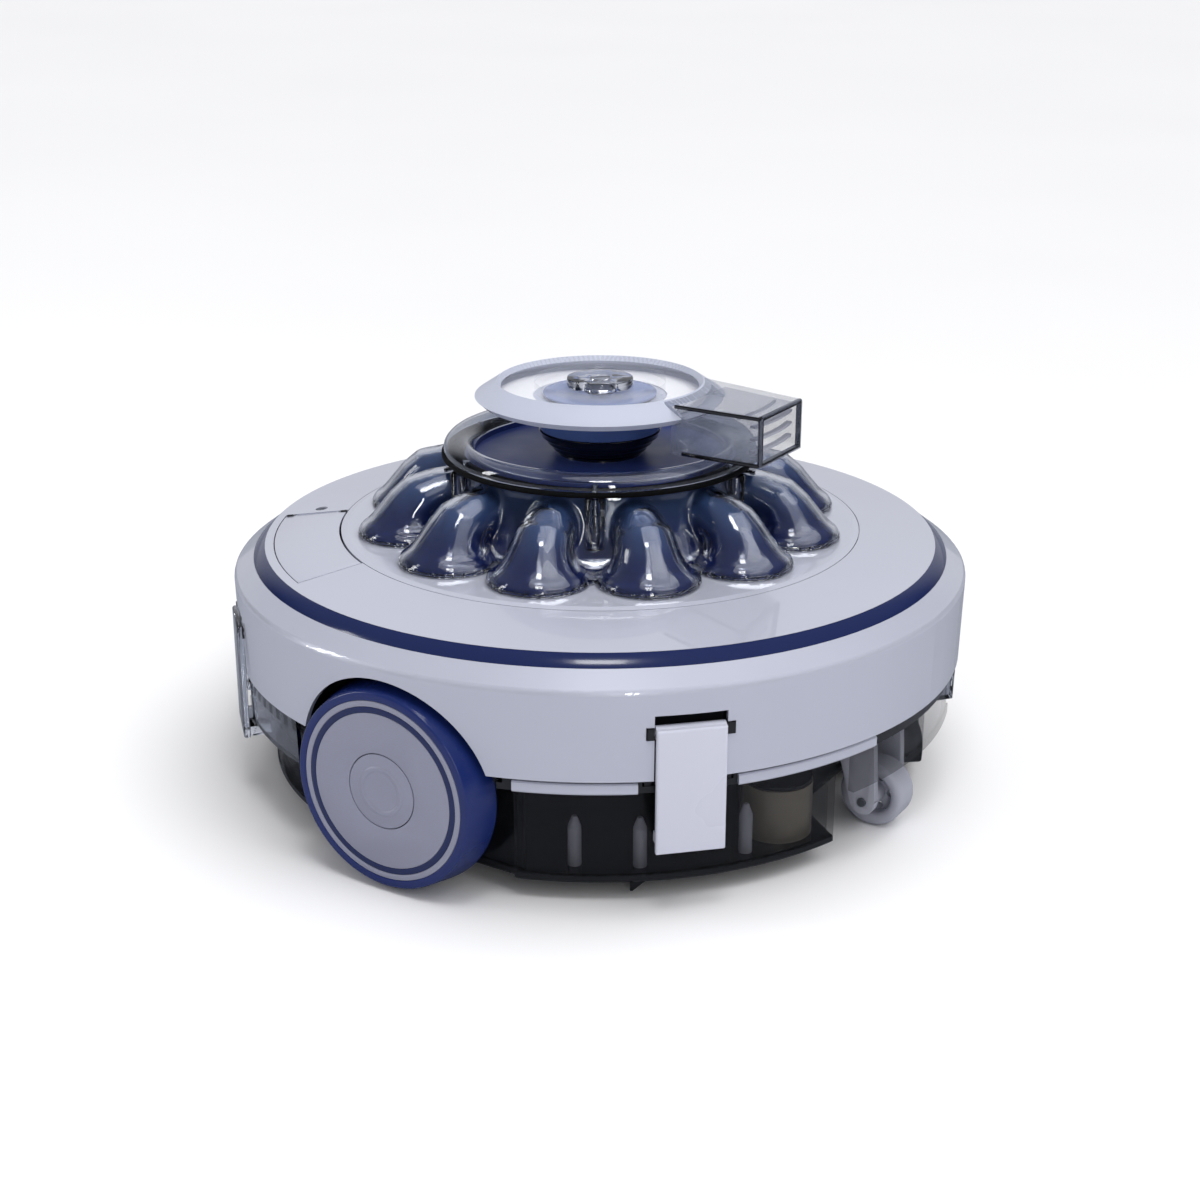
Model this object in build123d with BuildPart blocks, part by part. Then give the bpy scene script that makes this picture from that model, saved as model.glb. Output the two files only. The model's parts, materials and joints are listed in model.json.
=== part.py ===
from build123d import *

import math
import os

os.makedirs("parts", exist_ok=True)

# A round battery-driven pool-floor cleaner. Millimetres.
# Origin: on the floor under the vertical axis. +X front (the nozzle points there at rest),
# Y along the wheel axle, +Z up. An azimuth is in degrees from -Y towards +X.

# ---- driving dimensions -------------------------------------------------------------------------
SHELL_R = 175.0             # shoulder radius of the shell
SHELL_WALL = 2.6            # moulded wall of the skirt, band and covers
TRAY_LOW_Z = 9.5
TRAY_TOP_Z = 56.5
BASE_LOW_Z = TRAY_TOP_Z + 0.5
SKIRT_LOW_Z = BASE_LOW_Z + 6.6               # lower edge of the side skirt
SHOULDER_Z = SKIRT_LOW_Z + 40.2              # where the skirt turns in
BAND_LOW_R, BAND_LOW_Z = SHELL_R - 9.4, SHOULDER_Z + 6.9
COVER_R, COVER_EDGE_Z = SHELL_R - 14.9, SHOULDER_Z + 11.8
DECK_R, DECK_EDGE_Z = 124.0, COVER_EDGE_Z + 4.7
DECK_TOP_Z = DECK_EDGE_Z + 0.7               # flat seat of the dome
GROOVE_GAP = 0.4            # shadow groove between cover and deck
PART_GAP = 0.4              # open gap between neighbours that only pass each other
RUN_GAP = 0.05              # radial running clearance of pins and shafts

WHEEL_R = 48.0              # tyre radius, so also the axle height
WHEEL_FACE_Y = SHELL_R + 1.4                 # outer face of the wheels
WHEEL_WIDTH = 18.4
ARCH_GAP = 2.5              # wheel arch around the tyre
HUB_FACE_R = WHEEL_R - 7.0
CAP_R = 16.9
AXLE_R = 4.0

CASTER_X = SHELL_R - 24.0
CASTER_R = 15.5
CASTER_WIDTH = 16.0
CASTER_AXLE_R = 2.0

TRAY_R = SHELL_R - 15.0
TRAY_WALL = 2.5
BASE_THICK = 3.0
BASE_R = SHELL_R - 4.0

LATCH_AZ = 44.2
LATCH_WIDTH = 30.0
LATCH_OUT = SHELL_R + 1.5                    # outer face of a latch from the axis
LATCH_THICK = 3.0
LATCH_LOW_Z, LATCH_TOP_Z = 30.8, SKIRT_LOW_Z + 23.4
LATCH_PIVOT_R, LATCH_PIVOT_Z = SHELL_R - 2.7, LATCH_TOP_Z - 2.0
LATCH_PIN_R = 1.5
SLOT_TOP_Z = LATCH_TOP_Z + 6.0

LOBES = 12
LOBE_TOE_R, LOBE_TOE_HALF = 93.0, 23.6       # plan circle of a lobe at the deck
LOBE_TOP_R, LOBE_TOP_HALF = 80.0, 13.0       # plan circle of a lobe at the neck
DOME_WALL = 2.4
NECK_R = 69.5
NECK_TOP_Z = DECK_TOP_Z + 34.0
COLLAR_R = NECK_R + 4.6
SEAL_THICK = 1.4
COLLAR_TOP_Z = NECK_TOP_Z + 9.5

HOUSING_R = NECK_R - 5.5
SUCTION_R = 47.0
IMPELLER_R = HOUSING_R - 8.0
SHAFT_R = 3.0
MOTOR_R = 26.0

BOWL_LOW_R, BOWL_TOP_R, BOWL_TOP_Z = 20.0, 29.0, NECK_TOP_Z + 11.7
HUB_R, HUB_WALL = 28.6, 3.0
HEAD_LOW_Z = NECK_TOP_Z + 25.0
HEAD_TOP_Z = HEAD_LOW_Z + 10.0
HEAD_LOW_R, HEAD_WIDE_R, HEAD_TOP_R = 55.7, 59.1, 48.6
HEAD_WIDE_Z = HEAD_LOW_Z + 3.0
WINDOW_R = 31.0
KNOB_R = 15.6
KNOB_TOP_Z = HEAD_TOP_Z + 1.3
POST_R = 5.0
DUCT_HALF = 20.0
DUCT_LOW_Z, DUCT_TOP_Z = HEAD_LOW_Z - 14.0, HEAD_TOP_Z - 0.5
DUCT_END_X = 96.0
DUCT_WALL = 2.0

HATCH_FROM, HATCH_TO = -66.0, -28.0          # azimuths of the hatch opening
HATCH_OUT_R = SHELL_R - 19.0
HATCH_LID = 2.2
WELL_MID_R = (DECK_R + HATCH_OUT_R) / 2
LED_AZ, LED_R, LED_PLACE_R = HATCH_FROM - 2.5, 2.8, WELL_MID_R
SOCKET_AZ, SOCKET_BORE_R = -40.0, 4.0
BUTTON_AZ, BUTTON_R = -54.0, 6.0
WELL_FLOOR_Z = SHOULDER_Z - 3.8
SOCKET_WALL, SOCKET_HIGH, SOCKET_FOOT = 2.5, 5.0, 1.0

INLET_R, INLET_PLACE_R, INLET_AZ = 16.0, TRAY_R - 23.0, 66.8
INLET_TOP_Z = 37.0
INLET_WALL = 2.0

AXLE_Z = WHEEL_R
ARCH_R = WHEEL_R + ARCH_GAP
BASE_TOP_Z = BASE_LOW_Z + BASE_THICK
FLOOR_TOP_Z = TRAY_LOW_Z + TRAY_WALL
WHEEL_BACK_Y = WHEEL_FACE_Y - WHEEL_WIDTH
RIM_IN_R, RIM_IN_Z = COVER_R - 2.4, COVER_EDGE_Z - 2.6     # inner corner of the cover's rim
FAR = 400.0


# ---- small geometry helpers ---------------------------------------------------------------------
def out_dir(az):
    """Unit vector pointing away from the axis at an azimuth."""
    a = math.radians(az)
    return Vector(math.sin(a), -math.cos(a), 0)


def side_dir(az):
    """Unit vector along the rim, towards growing azimuth."""
    a = math.radians(az)
    return Vector(math.cos(a), math.sin(a), 0)


def facing(az, r, z):
    """Plane that faces outwards: local x along the rim, local y up."""
    return Plane(origin=out_dir(az) * r + Vector(0, 0, z), x_dir=side_dir(az), z_dir=out_dir(az))


def pin_plane(az, r, z):
    """Plane across a hinge pin that lies along the rim: local z is the pin's axis."""
    return Plane(origin=out_dir(az) * r + Vector(0, 0, z), x_dir=(0, 0, 1), z_dir=side_dir(az))


def standing(az, r, z):
    """Level plane on the radius: local x outwards, local z up."""
    return Plane(origin=out_dir(az) * r + Vector(0, 0, z), x_dir=out_dir(az), z_dir=(0, 0, 1))


def section(points, az=90.0):
    """Closed outline in a half plane through the axis, as (radius, height) points."""
    with BuildSketch(Plane(origin=(0, 0, 0), x_dir=out_dir(az), z_dir=-side_dir(az))) as outline:
        with BuildLine():
            Polyline(*points, close=True)
        make_face()
    return outline.sketch


def wedge(az_from, az_to, z):
    """Flat triangle from the axis that covers a range of azimuths."""
    near = out_dir(az_from) * FAR
    far = out_dir(az_to) * FAR
    with BuildSketch(Plane.XY.offset(z)) as corner:
        with BuildLine():
            Polyline((0, 0), (near.X, near.Y), (far.X, far.Y), close=True)
        make_face()
    return corner.sketch


def cover_z(r):
    """Height of the top cover's outer surface at a radius."""
    return COVER_EDGE_Z + (COVER_R - r) * (DECK_EDGE_Z - COVER_EDGE_Z) / (COVER_R - DECK_R)


def cover_under_z(r):
    """Height of the top cover's underside at a radius."""
    inner_z = cover_z(DECK_R + GROOVE_GAP) - SHELL_WALL
    share = (r - DECK_R - GROOVE_GAP) / (RIM_IN_R - DECK_R - GROOVE_GAP)
    return inner_z + share * (RIM_IN_Z - inner_z)


def wheel_plane(side):
    """Plane of a wheel's half section: local x is radius, local y is distance from the middle."""
    return Plane(origin=(0, 0, AXLE_Z), x_dir=(1, 0, 0), z_dir=(0, 0, side))


def wheel_section(points, side):
    """Closed outline of something that turns on a wheel axle."""
    with BuildSketch(wheel_plane(side)) as outline:
        with BuildLine():
            Polyline(*points, close=True)
        make_face()
    return outline.sketch


def save(piece, name):
    """Label a finished piece and write it."""
    piece.part.label = name
    export_step(piece.part, "parts/" + name + ".step")


WHEEL_AXIS = Axis((0, 0, AXLE_Z), (0, 1, 0))
SIDES = {"right": -1, "left": 1}
LATCH_PLACES = {
    "latch_front_right": LATCH_AZ,
    "latch_rear_right": -LATCH_AZ,
    "latch_front_left": 180.0 - LATCH_AZ,
    "latch_rear_left": 180.0 + LATCH_AZ,
}
CASTER_AZ = (90.0, 270.0)

# ---- side skirt -----------------------------------------------------------------------------------
SKIRT_LOW_R = SHELL_R - 1.0
LIP_R, LIP_Z = BAND_LOW_R - 2.0, BAND_LOW_Z - 2.7      # inner corner of the lip that carries the band
SLOT_HALF = LATCH_WIDTH / 2 + 0.5
EAR_HALF = LATCH_WIDTH / 2 + 3.6                       # outer end of the pin ears from the latch's middle
EAR_Z = 5.0
skirt_points = [
    (SKIRT_LOW_R, SKIRT_LOW_Z),
    (SHELL_R, SHOULDER_Z),
    (BAND_LOW_R, BAND_LOW_Z),
    (LIP_R, LIP_Z),
    (SHELL_R - SHELL_WALL, SHOULDER_Z - 1.2),
    (SKIRT_LOW_R - SHELL_WALL, SKIRT_LOW_Z),
]
with BuildPart() as side_skirt:
    revolve(section(skirt_points), Axis.Z)
    shoulder = side_skirt.edges().filter_by(GeomType.CIRCLE).filter_by_position(
        Axis.Z, SHOULDER_Z - RUN_GAP, SHOULDER_Z + RUN_GAP)
    fillet(shoulder, 3.0)
    with BuildSketch(Plane.XZ) as arch:
        with Locations((0, AXLE_Z)):
            Circle(ARCH_R)
    extrude(arch.sketch, amount=FAR, both=True, mode=Mode.SUBTRACT)
    for az in LATCH_PLACES.values():
        with BuildSketch(facing(az, SHELL_R - 15.0, 0)) as slot:
            with Locations((0, (SKIRT_LOW_Z + SLOT_TOP_Z) / 2)):
                Rectangle(2 * SLOT_HALF, SLOT_TOP_Z - SKIRT_LOW_Z)
            with Locations((0, LATCH_PIVOT_Z)):
                Rectangle(2 * (EAR_HALF + PART_GAP), EAR_Z + 2 * PART_GAP)
        extrude(slot.sketch, amount=30.0, mode=Mode.SUBTRACT)
save(side_skirt, "side_skirt")

# ---- navy trim band, seated on the skirt's lip and under the cover's rim --------------------------
with BuildPart() as trim_band:
    band_points = [(BAND_LOW_R, BAND_LOW_Z), (COVER_R, COVER_EDGE_Z), (RIM_IN_R, RIM_IN_Z), (LIP_R, LIP_Z)]
    revolve(section(band_points), Axis.Z)
save(trim_band, "trim_band")

# ---- top cover with the hatch opening and the lamp hole -------------------------------------------
COVER_IN_R = DECK_R + GROOVE_GAP
with BuildPart() as top_cover:
    cover_points = [
        (COVER_IN_R, cover_z(COVER_IN_R)),
        (COVER_R, COVER_EDGE_Z),
        (RIM_IN_R, RIM_IN_Z),
        (COVER_IN_R, cover_z(COVER_IN_R) - SHELL_WALL),
    ]
    revolve(section(cover_points), Axis.Z)
    with BuildSketch(Plane.XY) as hatch_cut:
        add(wedge(HATCH_FROM, HATCH_TO, 0))
        Circle(HATCH_OUT_R, mode=Mode.INTERSECT)
    extrude(hatch_cut.sketch, amount=2 * SHELL_R, mode=Mode.SUBTRACT)
    with BuildSketch(standing(LED_AZ, LED_PLACE_R, 0)) as led_hole:
        Circle(LED_R + 0.2)
    extrude(led_hole.sketch, amount=2 * SHELL_R, mode=Mode.SUBTRACT)
save(top_cover, "top_cover")

# ---- centre deck: flat seat for the dome, flange tucked under the cover ---------------------------
FLANGE_R = DECK_R + 4.0
DECK_EDGE_IN = DECK_R - 3.0
with BuildPart() as centre_deck:
    deck_points = [
        (SUCTION_R + PART_GAP, DECK_TOP_Z),
        (DECK_EDGE_IN, DECK_TOP_Z),
        (DECK_R, DECK_EDGE_Z),
        (DECK_R, cover_under_z(COVER_IN_R)),
        (COVER_IN_R, cover_under_z(COVER_IN_R)),
        (FLANGE_R, cover_under_z(FLANGE_R)),
        (FLANGE_R, cover_under_z(FLANGE_R) - SHELL_WALL),
        (DECK_EDGE_IN - 1.0, cover_under_z(FLANGE_R) - SHELL_WALL),
        (DECK_EDGE_IN - 1.0, DECK_TOP_Z - SHELL_WALL),
        (SUCTION_R + PART_GAP, DECK_TOP_Z - SHELL_WALL),
    ]
    revolve(section(deck_points), Axis.Z)
    with BuildSketch(Plane.XY) as flange_cut:
        add(wedge(HATCH_FROM - 2.5, HATCH_TO + 2.5, 0))
        Circle(DECK_R, mode=Mode.SUBTRACT)
    extrude(flange_cut.sketch, amount=2 * SHELL_R, mode=Mode.SUBTRACT)
save(centre_deck, "centre_deck")

# ---- clear dome: twelve lobes that flare from a neck and end in round toes -------------------------
# points of the two profiles, as distance out from the neck and height above the deck
crown = [(46.7, 0.0), (47.5, 2.4), (46.5, 5.0), (43.7, 7.2), (39.9, 8.6), (37.7, 13.0), (34.3, 18.4),
         (29.3, 23.4), (22.0, 27.2), (12.5, 30.0), (4.5, 31.6), (0.0, 33.0), (0.0, 34.0)]
waist = [(19.1, 0.0), (11.5, 6.0), (5.7, 13.0), (2.1, 21.0), (0.0, 29.0), (0.0, 34.0)]


def profile(points):
    """Closed outline from the axis out along the deck, up by the points and back along the neck."""
    rim = [(NECK_R + out, DECK_TOP_Z + up) for out, up in points]
    return [(0, DECK_TOP_Z)] + rim + [(0, NECK_TOP_Z)]


envelope = profile(crown)
core = profile(waist)


def shrink(points, wall):
    """The same outline moved in by a wall, kept open at the foot and the neck."""
    inner = []
    for r, z in points:
        lower = 0 if z < DECK_TOP_Z + RUN_GAP or z > NECK_TOP_Z - RUN_GAP else wall * 0.5
        inner.append((max(r - wall, 0), z - lower))
    inner[0] = (0, DECK_TOP_Z - 1.0)
    inner.insert(1, (points[1][0] - wall, DECK_TOP_Z - 1.0))
    inner[-1] = (0, NECK_TOP_Z + 1.0)
    inner.insert(-1, (inner[-2][0], NECK_TOP_Z + 1.0))
    return inner


def lobed_body(wall):
    """Solid of the lobed form, smaller all round by a wall."""
    drop = 1.0 if wall else 0.0
    with BuildPart() as lobe:
        with BuildSketch(standing(90, LOBE_TOE_R, DECK_TOP_Z - drop)):
            Circle(LOBE_TOE_HALF - wall)
        with BuildSketch(standing(90, LOBE_TOP_R, NECK_TOP_Z + 1.0)):
            Circle(LOBE_TOP_HALF - wall)
        loft()
    with BuildPart() as body:
        with PolarLocations(0, LOBES, start_angle=180.0 / LOBES):
            add(lobe.part)
        outer = revolve(section(shrink(envelope, wall) if wall else envelope), Axis.Z, mode=Mode.PRIVATE)
        add(outer, mode=Mode.INTERSECT)
        revolve(section(shrink(core, wall) if wall else core), Axis.Z)
    return body.part


BOSS_R, BOSS_PLACE_R, BOSS_LOW_Z = 4.5, NECK_R, DECK_TOP_Z + 10.0
DOME_SCREW_R = 1.6
with BuildPart() as clear_dome:
    add(lobed_body(0.0))
    add(lobed_body(DOME_WALL), mode=Mode.SUBTRACT)
    with BuildSketch(Plane.XY.offset(BOSS_LOW_Z)) as bosses:
        with PolarLocations(BOSS_PLACE_R, LOBES // 2):
            Circle(BOSS_R)
    extrude(bosses.sketch, amount=NECK_TOP_Z - BOSS_LOW_Z)
    with BuildSketch(Plane.XY.offset(BOSS_LOW_Z + 6.0)) as screw_holes:
        with PolarLocations(BOSS_PLACE_R, LOBES // 2):
            Circle(DOME_SCREW_R)
    extrude(screw_holes.sketch, amount=NECK_TOP_Z, mode=Mode.SUBTRACT)
save(clear_dome, "clear_dome")

# ---- black seal and clear collar bead on the neck ---------------------------------------------------
COLLAR_LOW_Z = NECK_TOP_Z + SEAL_THICK
COLLAR_IN_R = COLLAR_R - 14.6
COLLAR_WALL = 2.2
COLLAR_MID_R = COLLAR_R - 7.5
with BuildPart() as dome_collar:
    with BuildSketch(Plane.XZ) as bead:
        with BuildLine():
            Spline((COLLAR_R, COLLAR_LOW_Z), (COLLAR_R - 1.5, COLLAR_TOP_Z - 3.1), (COLLAR_MID_R, COLLAR_TOP_Z),
                   (COLLAR_IN_R + 2.1, COLLAR_TOP_Z - 1.1), (COLLAR_IN_R, COLLAR_TOP_Z - 3.9))
            Line((COLLAR_IN_R, COLLAR_TOP_Z - 3.9), (COLLAR_IN_R + COLLAR_WALL, COLLAR_TOP_Z - 4.3))
            Spline((COLLAR_IN_R + COLLAR_WALL, COLLAR_TOP_Z - 4.3), (COLLAR_IN_R + 3.5, COLLAR_TOP_Z - 2.9),
                   (COLLAR_MID_R, COLLAR_TOP_Z - COLLAR_WALL), (COLLAR_R - 3.7, COLLAR_TOP_Z - 4.1),
                   (COLLAR_R - COLLAR_WALL, COLLAR_LOW_Z))
            Line((COLLAR_R - COLLAR_WALL, COLLAR_LOW_Z), (COLLAR_R, COLLAR_LOW_Z))
        make_face()
    revolve(bead.sketch, Axis.Z)
    with BuildSketch(Plane.XY.offset(COLLAR_LOW_Z)) as collar_bosses:
        with PolarLocations(BOSS_PLACE_R, LOBES // 2):
            Circle(3.4)
            Circle(DOME_SCREW_R, mode=Mode.SUBTRACT)
    extrude(collar_bosses.sketch, amount=3.2)
save(dome_collar, "dome_collar")

# ---- navy pump housing and lid inside the dome ------------------------------------------------------
HOUSING_WALL = 2.5
PLATE_THICK = 2.0
LID_THICK = 3.0
LID_LOW_Z = NECK_TOP_Z - LID_THICK
STIFFENER_OUT_R = HOUSING_R + 14.0
TOE_FLOOR_HALF = LOBE_TOE_HALF - DOME_WALL - 2.4
with BuildPart() as pump_housing:
    with BuildSketch(Plane.XY.offset(DECK_TOP_Z)) as lobed_plate:
        Circle(STIFFENER_OUT_R + 4.0)
        with PolarLocations(LOBE_TOE_R, LOBES, start_angle=180.0 / LOBES):
            Circle(TOE_FLOOR_HALF)
        Circle(SUCTION_R + PART_GAP, mode=Mode.SUBTRACT)
    extrude(lobed_plate.sketch, amount=PLATE_THICK)
    with BuildSketch(Plane.XY.offset(DECK_TOP_Z + PLATE_THICK)) as barrel:
        Circle(HOUSING_R)
        Circle(HOUSING_R - HOUSING_WALL, mode=Mode.SUBTRACT)
    extrude(barrel.sketch, amount=LID_LOW_Z - DECK_TOP_Z - PLATE_THICK)
    with BuildSketch(Plane.XY.offset(DECK_TOP_Z + PLATE_THICK)) as stiffeners:
        with PolarLocations((HOUSING_R + STIFFENER_OUT_R) / 2 - 0.5, LOBES):
            Rectangle(STIFFENER_OUT_R - HOUSING_R, 1.6)
    extrude(stiffeners.sketch, amount=3.0)
save(pump_housing, "pump_housing")

with BuildPart() as pump_lid:
    with BuildSketch(Plane.XY.offset(LID_LOW_Z)):
        Circle(HOUSING_R)
        Circle(BOWL_LOW_R, mode=Mode.SUBTRACT)
    extrude(amount=LID_THICK)
    with BuildSketch(Plane.XY.offset(NECK_TOP_Z)) as lid_ribs:
        with PolarLocations((BOWL_TOP_R + HOUSING_R) / 2, 6):
            Rectangle(HOUSING_R - BOWL_TOP_R - 8.0, 2.0)
        Circle(HOUSING_R - 2.0)
        Circle(HOUSING_R - 4.5, mode=Mode.SUBTRACT)
    extrude(lid_ribs.sketch, amount=2.4)
save(pump_lid, "pump_lid")

# ---- impeller on its shaft --------------------------------------------------------------------------
IMPELLER_HUB_R = 10.0
IMPELLER_LOW_Z, IMPELLER_TOP_Z = DECK_TOP_Z + 5.0, DECK_TOP_Z + 26.0
MOTOR_LOW_Z, MOTOR_TOP_Z = BASE_TOP_Z + 6.0, DECK_TOP_Z - 9.0
BLADES = 6
with BuildSketch() as blade:
    with BuildLine():
        ThreePointArc((IMPELLER_HUB_R - 1.0, 0), (IMPELLER_R * 0.55, 9.0), (IMPELLER_R - 1.0, 4.0))
        Line((IMPELLER_R - 1.0, 4.0), (IMPELLER_R - 1.0, 2.0))
        ThreePointArc((IMPELLER_R - 1.0, 2.0), (IMPELLER_R * 0.55, 6.6), (IMPELLER_HUB_R - 1.0, -2.4))
        Line((IMPELLER_HUB_R - 1.0, -2.4), (IMPELLER_HUB_R - 1.0, 0))
    make_face()
with BuildPart() as impeller:
    with BuildSketch(Plane.XY.offset(IMPELLER_LOW_Z)) as hub_plan:
        Circle(IMPELLER_HUB_R)
        with PolarLocations(0, BLADES):
            add(blade.sketch)
    extrude(hub_plan.sketch, amount=IMPELLER_TOP_Z - IMPELLER_LOW_Z)
    with BuildSketch(Plane.XY.offset(MOTOR_TOP_Z + 0.3)) as shaft:
        Circle(SHAFT_R)
    extrude(shaft.sketch, amount=IMPELLER_TOP_Z + 1.5 - MOTOR_TOP_Z - 0.3)
save(impeller, "impeller")

# ---- motor, and the suction tube that carries it -----------------------------------------------------------
MOUNT_RING = 3.0
TUBE_WALL = 3.0
with BuildPart() as pump_motor:
    with BuildSketch(Plane.XY.offset(MOTOR_LOW_Z)):
        Circle(MOTOR_R)
    extrude(amount=MOTOR_TOP_Z - MOTOR_LOW_Z)
    chamfer(pump_motor.edges().group_by(Axis.Z)[-1], 2.0)
save(pump_motor, "pump_motor")

with BuildPart() as suction_tube:
    with BuildSketch(Plane.XY.offset(BASE_TOP_Z)) as tube_plan:
        Circle(SUCTION_R)
        Circle(SUCTION_R - TUBE_WALL, mode=Mode.SUBTRACT)
    extrude(tube_plan.sketch, amount=DECK_TOP_Z - BASE_TOP_Z)
    with BuildSketch(Plane.XY.offset(BASE_TOP_Z)) as mount_plan:
        Circle(MOTOR_R + MOUNT_RING)
        with PolarLocations(SUCTION_R / 2, 3):
            Rectangle(SUCTION_R, 6.0)
        Circle(SUCTION_R - TUBE_WALL / 2, mode=Mode.INTERSECT)
    extrude(mount_plan.sketch, amount=MOTOR_LOW_Z - BASE_TOP_Z)
    with BuildSketch(Plane.XY.offset(MOTOR_LOW_Z)) as mount_ring:
        Circle(MOTOR_R + MOUNT_RING)
        Circle(MOTOR_R, mode=Mode.SUBTRACT)
    extrude(mount_ring.sketch, amount=10.0)
save(suction_tube, "suction_tube")

# ---- outlet bowl and swivel post ---------------------------------------------------------------------
BOWL_WALL = 2.0
with BuildPart() as outlet_bowl:
    bowl_points = [
        (BOWL_LOW_R, LID_LOW_Z), (BOWL_LOW_R, NECK_TOP_Z + 0.5), (BOWL_TOP_R, BOWL_TOP_Z),
        (BOWL_TOP_R - BOWL_WALL, BOWL_TOP_Z), (BOWL_LOW_R - BOWL_WALL, NECK_TOP_Z + 1.0),
        (BOWL_LOW_R - BOWL_WALL, LID_LOW_Z),
    ]
    revolve(section(bowl_points), Axis.Z)
save(outlet_bowl, "outlet_bowl")

POST_TOP_Z = HEAD_TOP_Z
with BuildPart() as swivel_post:
    with BuildSketch(Plane.XY.offset(LID_LOW_Z)) as spider:
        with PolarLocations(BOWL_LOW_R / 2, 3):
            Rectangle(BOWL_LOW_R, 3.0)
        Circle(BOWL_LOW_R - BOWL_WALL, mode=Mode.INTERSECT)
        Circle(POST_R)
    extrude(spider.sketch, amount=3.0)
    with BuildSketch(Plane.XY.offset(LID_LOW_Z)) as post:
        Circle(POST_R)
    extrude(post.sketch, amount=POST_TOP_Z - LID_LOW_Z)
save(swivel_post, "swivel_post")

# ---- nozzle head ---------------------------------------------------------------------------------------
HEAD_WALL = 2.2
head_points = [
    (HUB_R - HUB_WALL, HEAD_LOW_Z), (HEAD_LOW_R, HEAD_LOW_Z), (HEAD_WIDE_R, HEAD_WIDE_Z),
    (HEAD_TOP_R, HEAD_TOP_Z), (HEAD_TOP_R - 2.0, HEAD_TOP_Z - HEAD_WALL),
    (HEAD_WIDE_R - 3.4, HEAD_WIDE_Z), (HEAD_LOW_R - 1.2, HEAD_LOW_Z + HEAD_WALL),
    (HUB_R - HUB_WALL, HEAD_LOW_Z + HEAD_WALL),
]
duct_plan = [(40.0, -DUCT_HALF), (DUCT_END_X, -DUCT_HALF), (DUCT_END_X, DUCT_HALF), (40.0, 31.6)]
DUCT_SILL_X = 50.0
with BuildPart() as nozzle_shell:
    revolve(section(head_points), Axis.Z)
    with BuildSketch(Plane.XY.offset(HEAD_LOW_Z + HEAD_WALL)) as passage:
        with BuildLine():
            Polyline(*duct_plan, close=True)
        make_face()
        offset(amount=-DUCT_WALL, kind=Kind.INTERSECTION)
    extrude(passage.sketch, amount=DUCT_TOP_Z - DUCT_WALL - HEAD_LOW_Z - HEAD_WALL, mode=Mode.SUBTRACT)
save(nozzle_shell, "nozzle_shell")

with BuildPart() as nozzle_duct:
    with BuildSketch(Plane.XY.offset(DUCT_LOW_Z)) as duct_outline:
        with BuildLine():
            Polyline(*duct_plan, close=True)
        make_face()
    extrude(duct_outline.sketch, amount=DUCT_TOP_Z - DUCT_LOW_Z)
    with BuildSketch(Plane.YZ.offset(DUCT_SILL_X)) as sill:
        with Locations((0, DUCT_LOW_Z)):
            Rectangle(FAR, 2 * (HEAD_LOW_Z - DUCT_LOW_Z))
    extrude(sill.sketch, amount=-FAR, mode=Mode.SUBTRACT)
    top_edges = nozzle_duct.edges().group_by(Axis.Z)[-1].filter_by(Axis.Y, reverse=True)
    fillet(top_edges, 2.0)
    with BuildSketch(Plane.XY.offset(DUCT_LOW_Z + DUCT_WALL)) as bore:
        with BuildLine():
            Polyline(*duct_plan, close=True)
        make_face()
        offset(amount=-DUCT_WALL, kind=Kind.INTERSECTION)
        with Locations((DUCT_END_X, 0)):
            Rectangle(4 * DUCT_WALL, 2 * (DUCT_HALF - DUCT_WALL))
        with Locations((0, 0)):
            Rectangle(2 * (DUCT_SILL_X + DUCT_WALL), FAR, mode=Mode.SUBTRACT)
    extrude(bore.sketch, amount=DUCT_TOP_Z - DUCT_LOW_Z - 2 * DUCT_WALL, mode=Mode.SUBTRACT)
    with BuildSketch(Plane.XY.offset(HEAD_LOW_Z)) as head_core:
        Circle(HEAD_TOP_R)
    extrude(head_core.sketch, amount=FAR, mode=Mode.SUBTRACT)
    head_solid = revolve(section([(0, HEAD_LOW_Z)] + head_points[1:4] + [(0, HEAD_TOP_Z)]), Axis.Z,
                         mode=Mode.PRIVATE)
    add(head_solid, mode=Mode.SUBTRACT)
save(nozzle_duct, "nozzle_duct")

RIB_THICK = 1.2
BAR_OUT_R = DUCT_END_X - 2.4
with BuildPart() as outlet_grille:
    for bar_up in (5.6, 11.4, 17.2):
        with BuildSketch(Plane.XY.offset(DUCT_LOW_Z + bar_up)) as bar:
            Circle(BAR_OUT_R)
            Circle(BAR_OUT_R - 2.6, mode=Mode.SUBTRACT)
            with Locations((DUCT_END_X, 0)):
                Rectangle(DUCT_END_X, 2 * (DUCT_HALF - DUCT_WALL), mode=Mode.INTERSECT)
        extrude(bar.sketch, amount=RIB_THICK)
    with BuildSketch(Plane.XY.offset(DUCT_TOP_Z - DUCT_WALL - RIB_THICK)) as top_ribs:
        for rib_r in (67.0, 76.0, 85.0):
            Circle(rib_r + RIB_THICK / 2)
            Circle(rib_r - RIB_THICK / 2, mode=Mode.SUBTRACT)
        with Locations((DUCT_END_X, 0)):
            Rectangle(DUCT_END_X, 2 * (DUCT_HALF - DUCT_WALL), mode=Mode.INTERSECT)
    extrude(top_ribs.sketch, amount=RIB_THICK)
save(outlet_grille, "outlet_grille")

with BuildPart() as nozzle_top_plate:
    plate_points = [
        (WINDOW_R, HEAD_TOP_Z), (HEAD_TOP_R, HEAD_TOP_Z),
        (HEAD_TOP_R - 2.0, HEAD_TOP_Z - HEAD_WALL), (WINDOW_R, HEAD_TOP_Z - HEAD_WALL),
    ]
    revolve(section(plate_points), Axis.Z)
save(nozzle_top_plate, "nozzle_top_plate")

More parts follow.
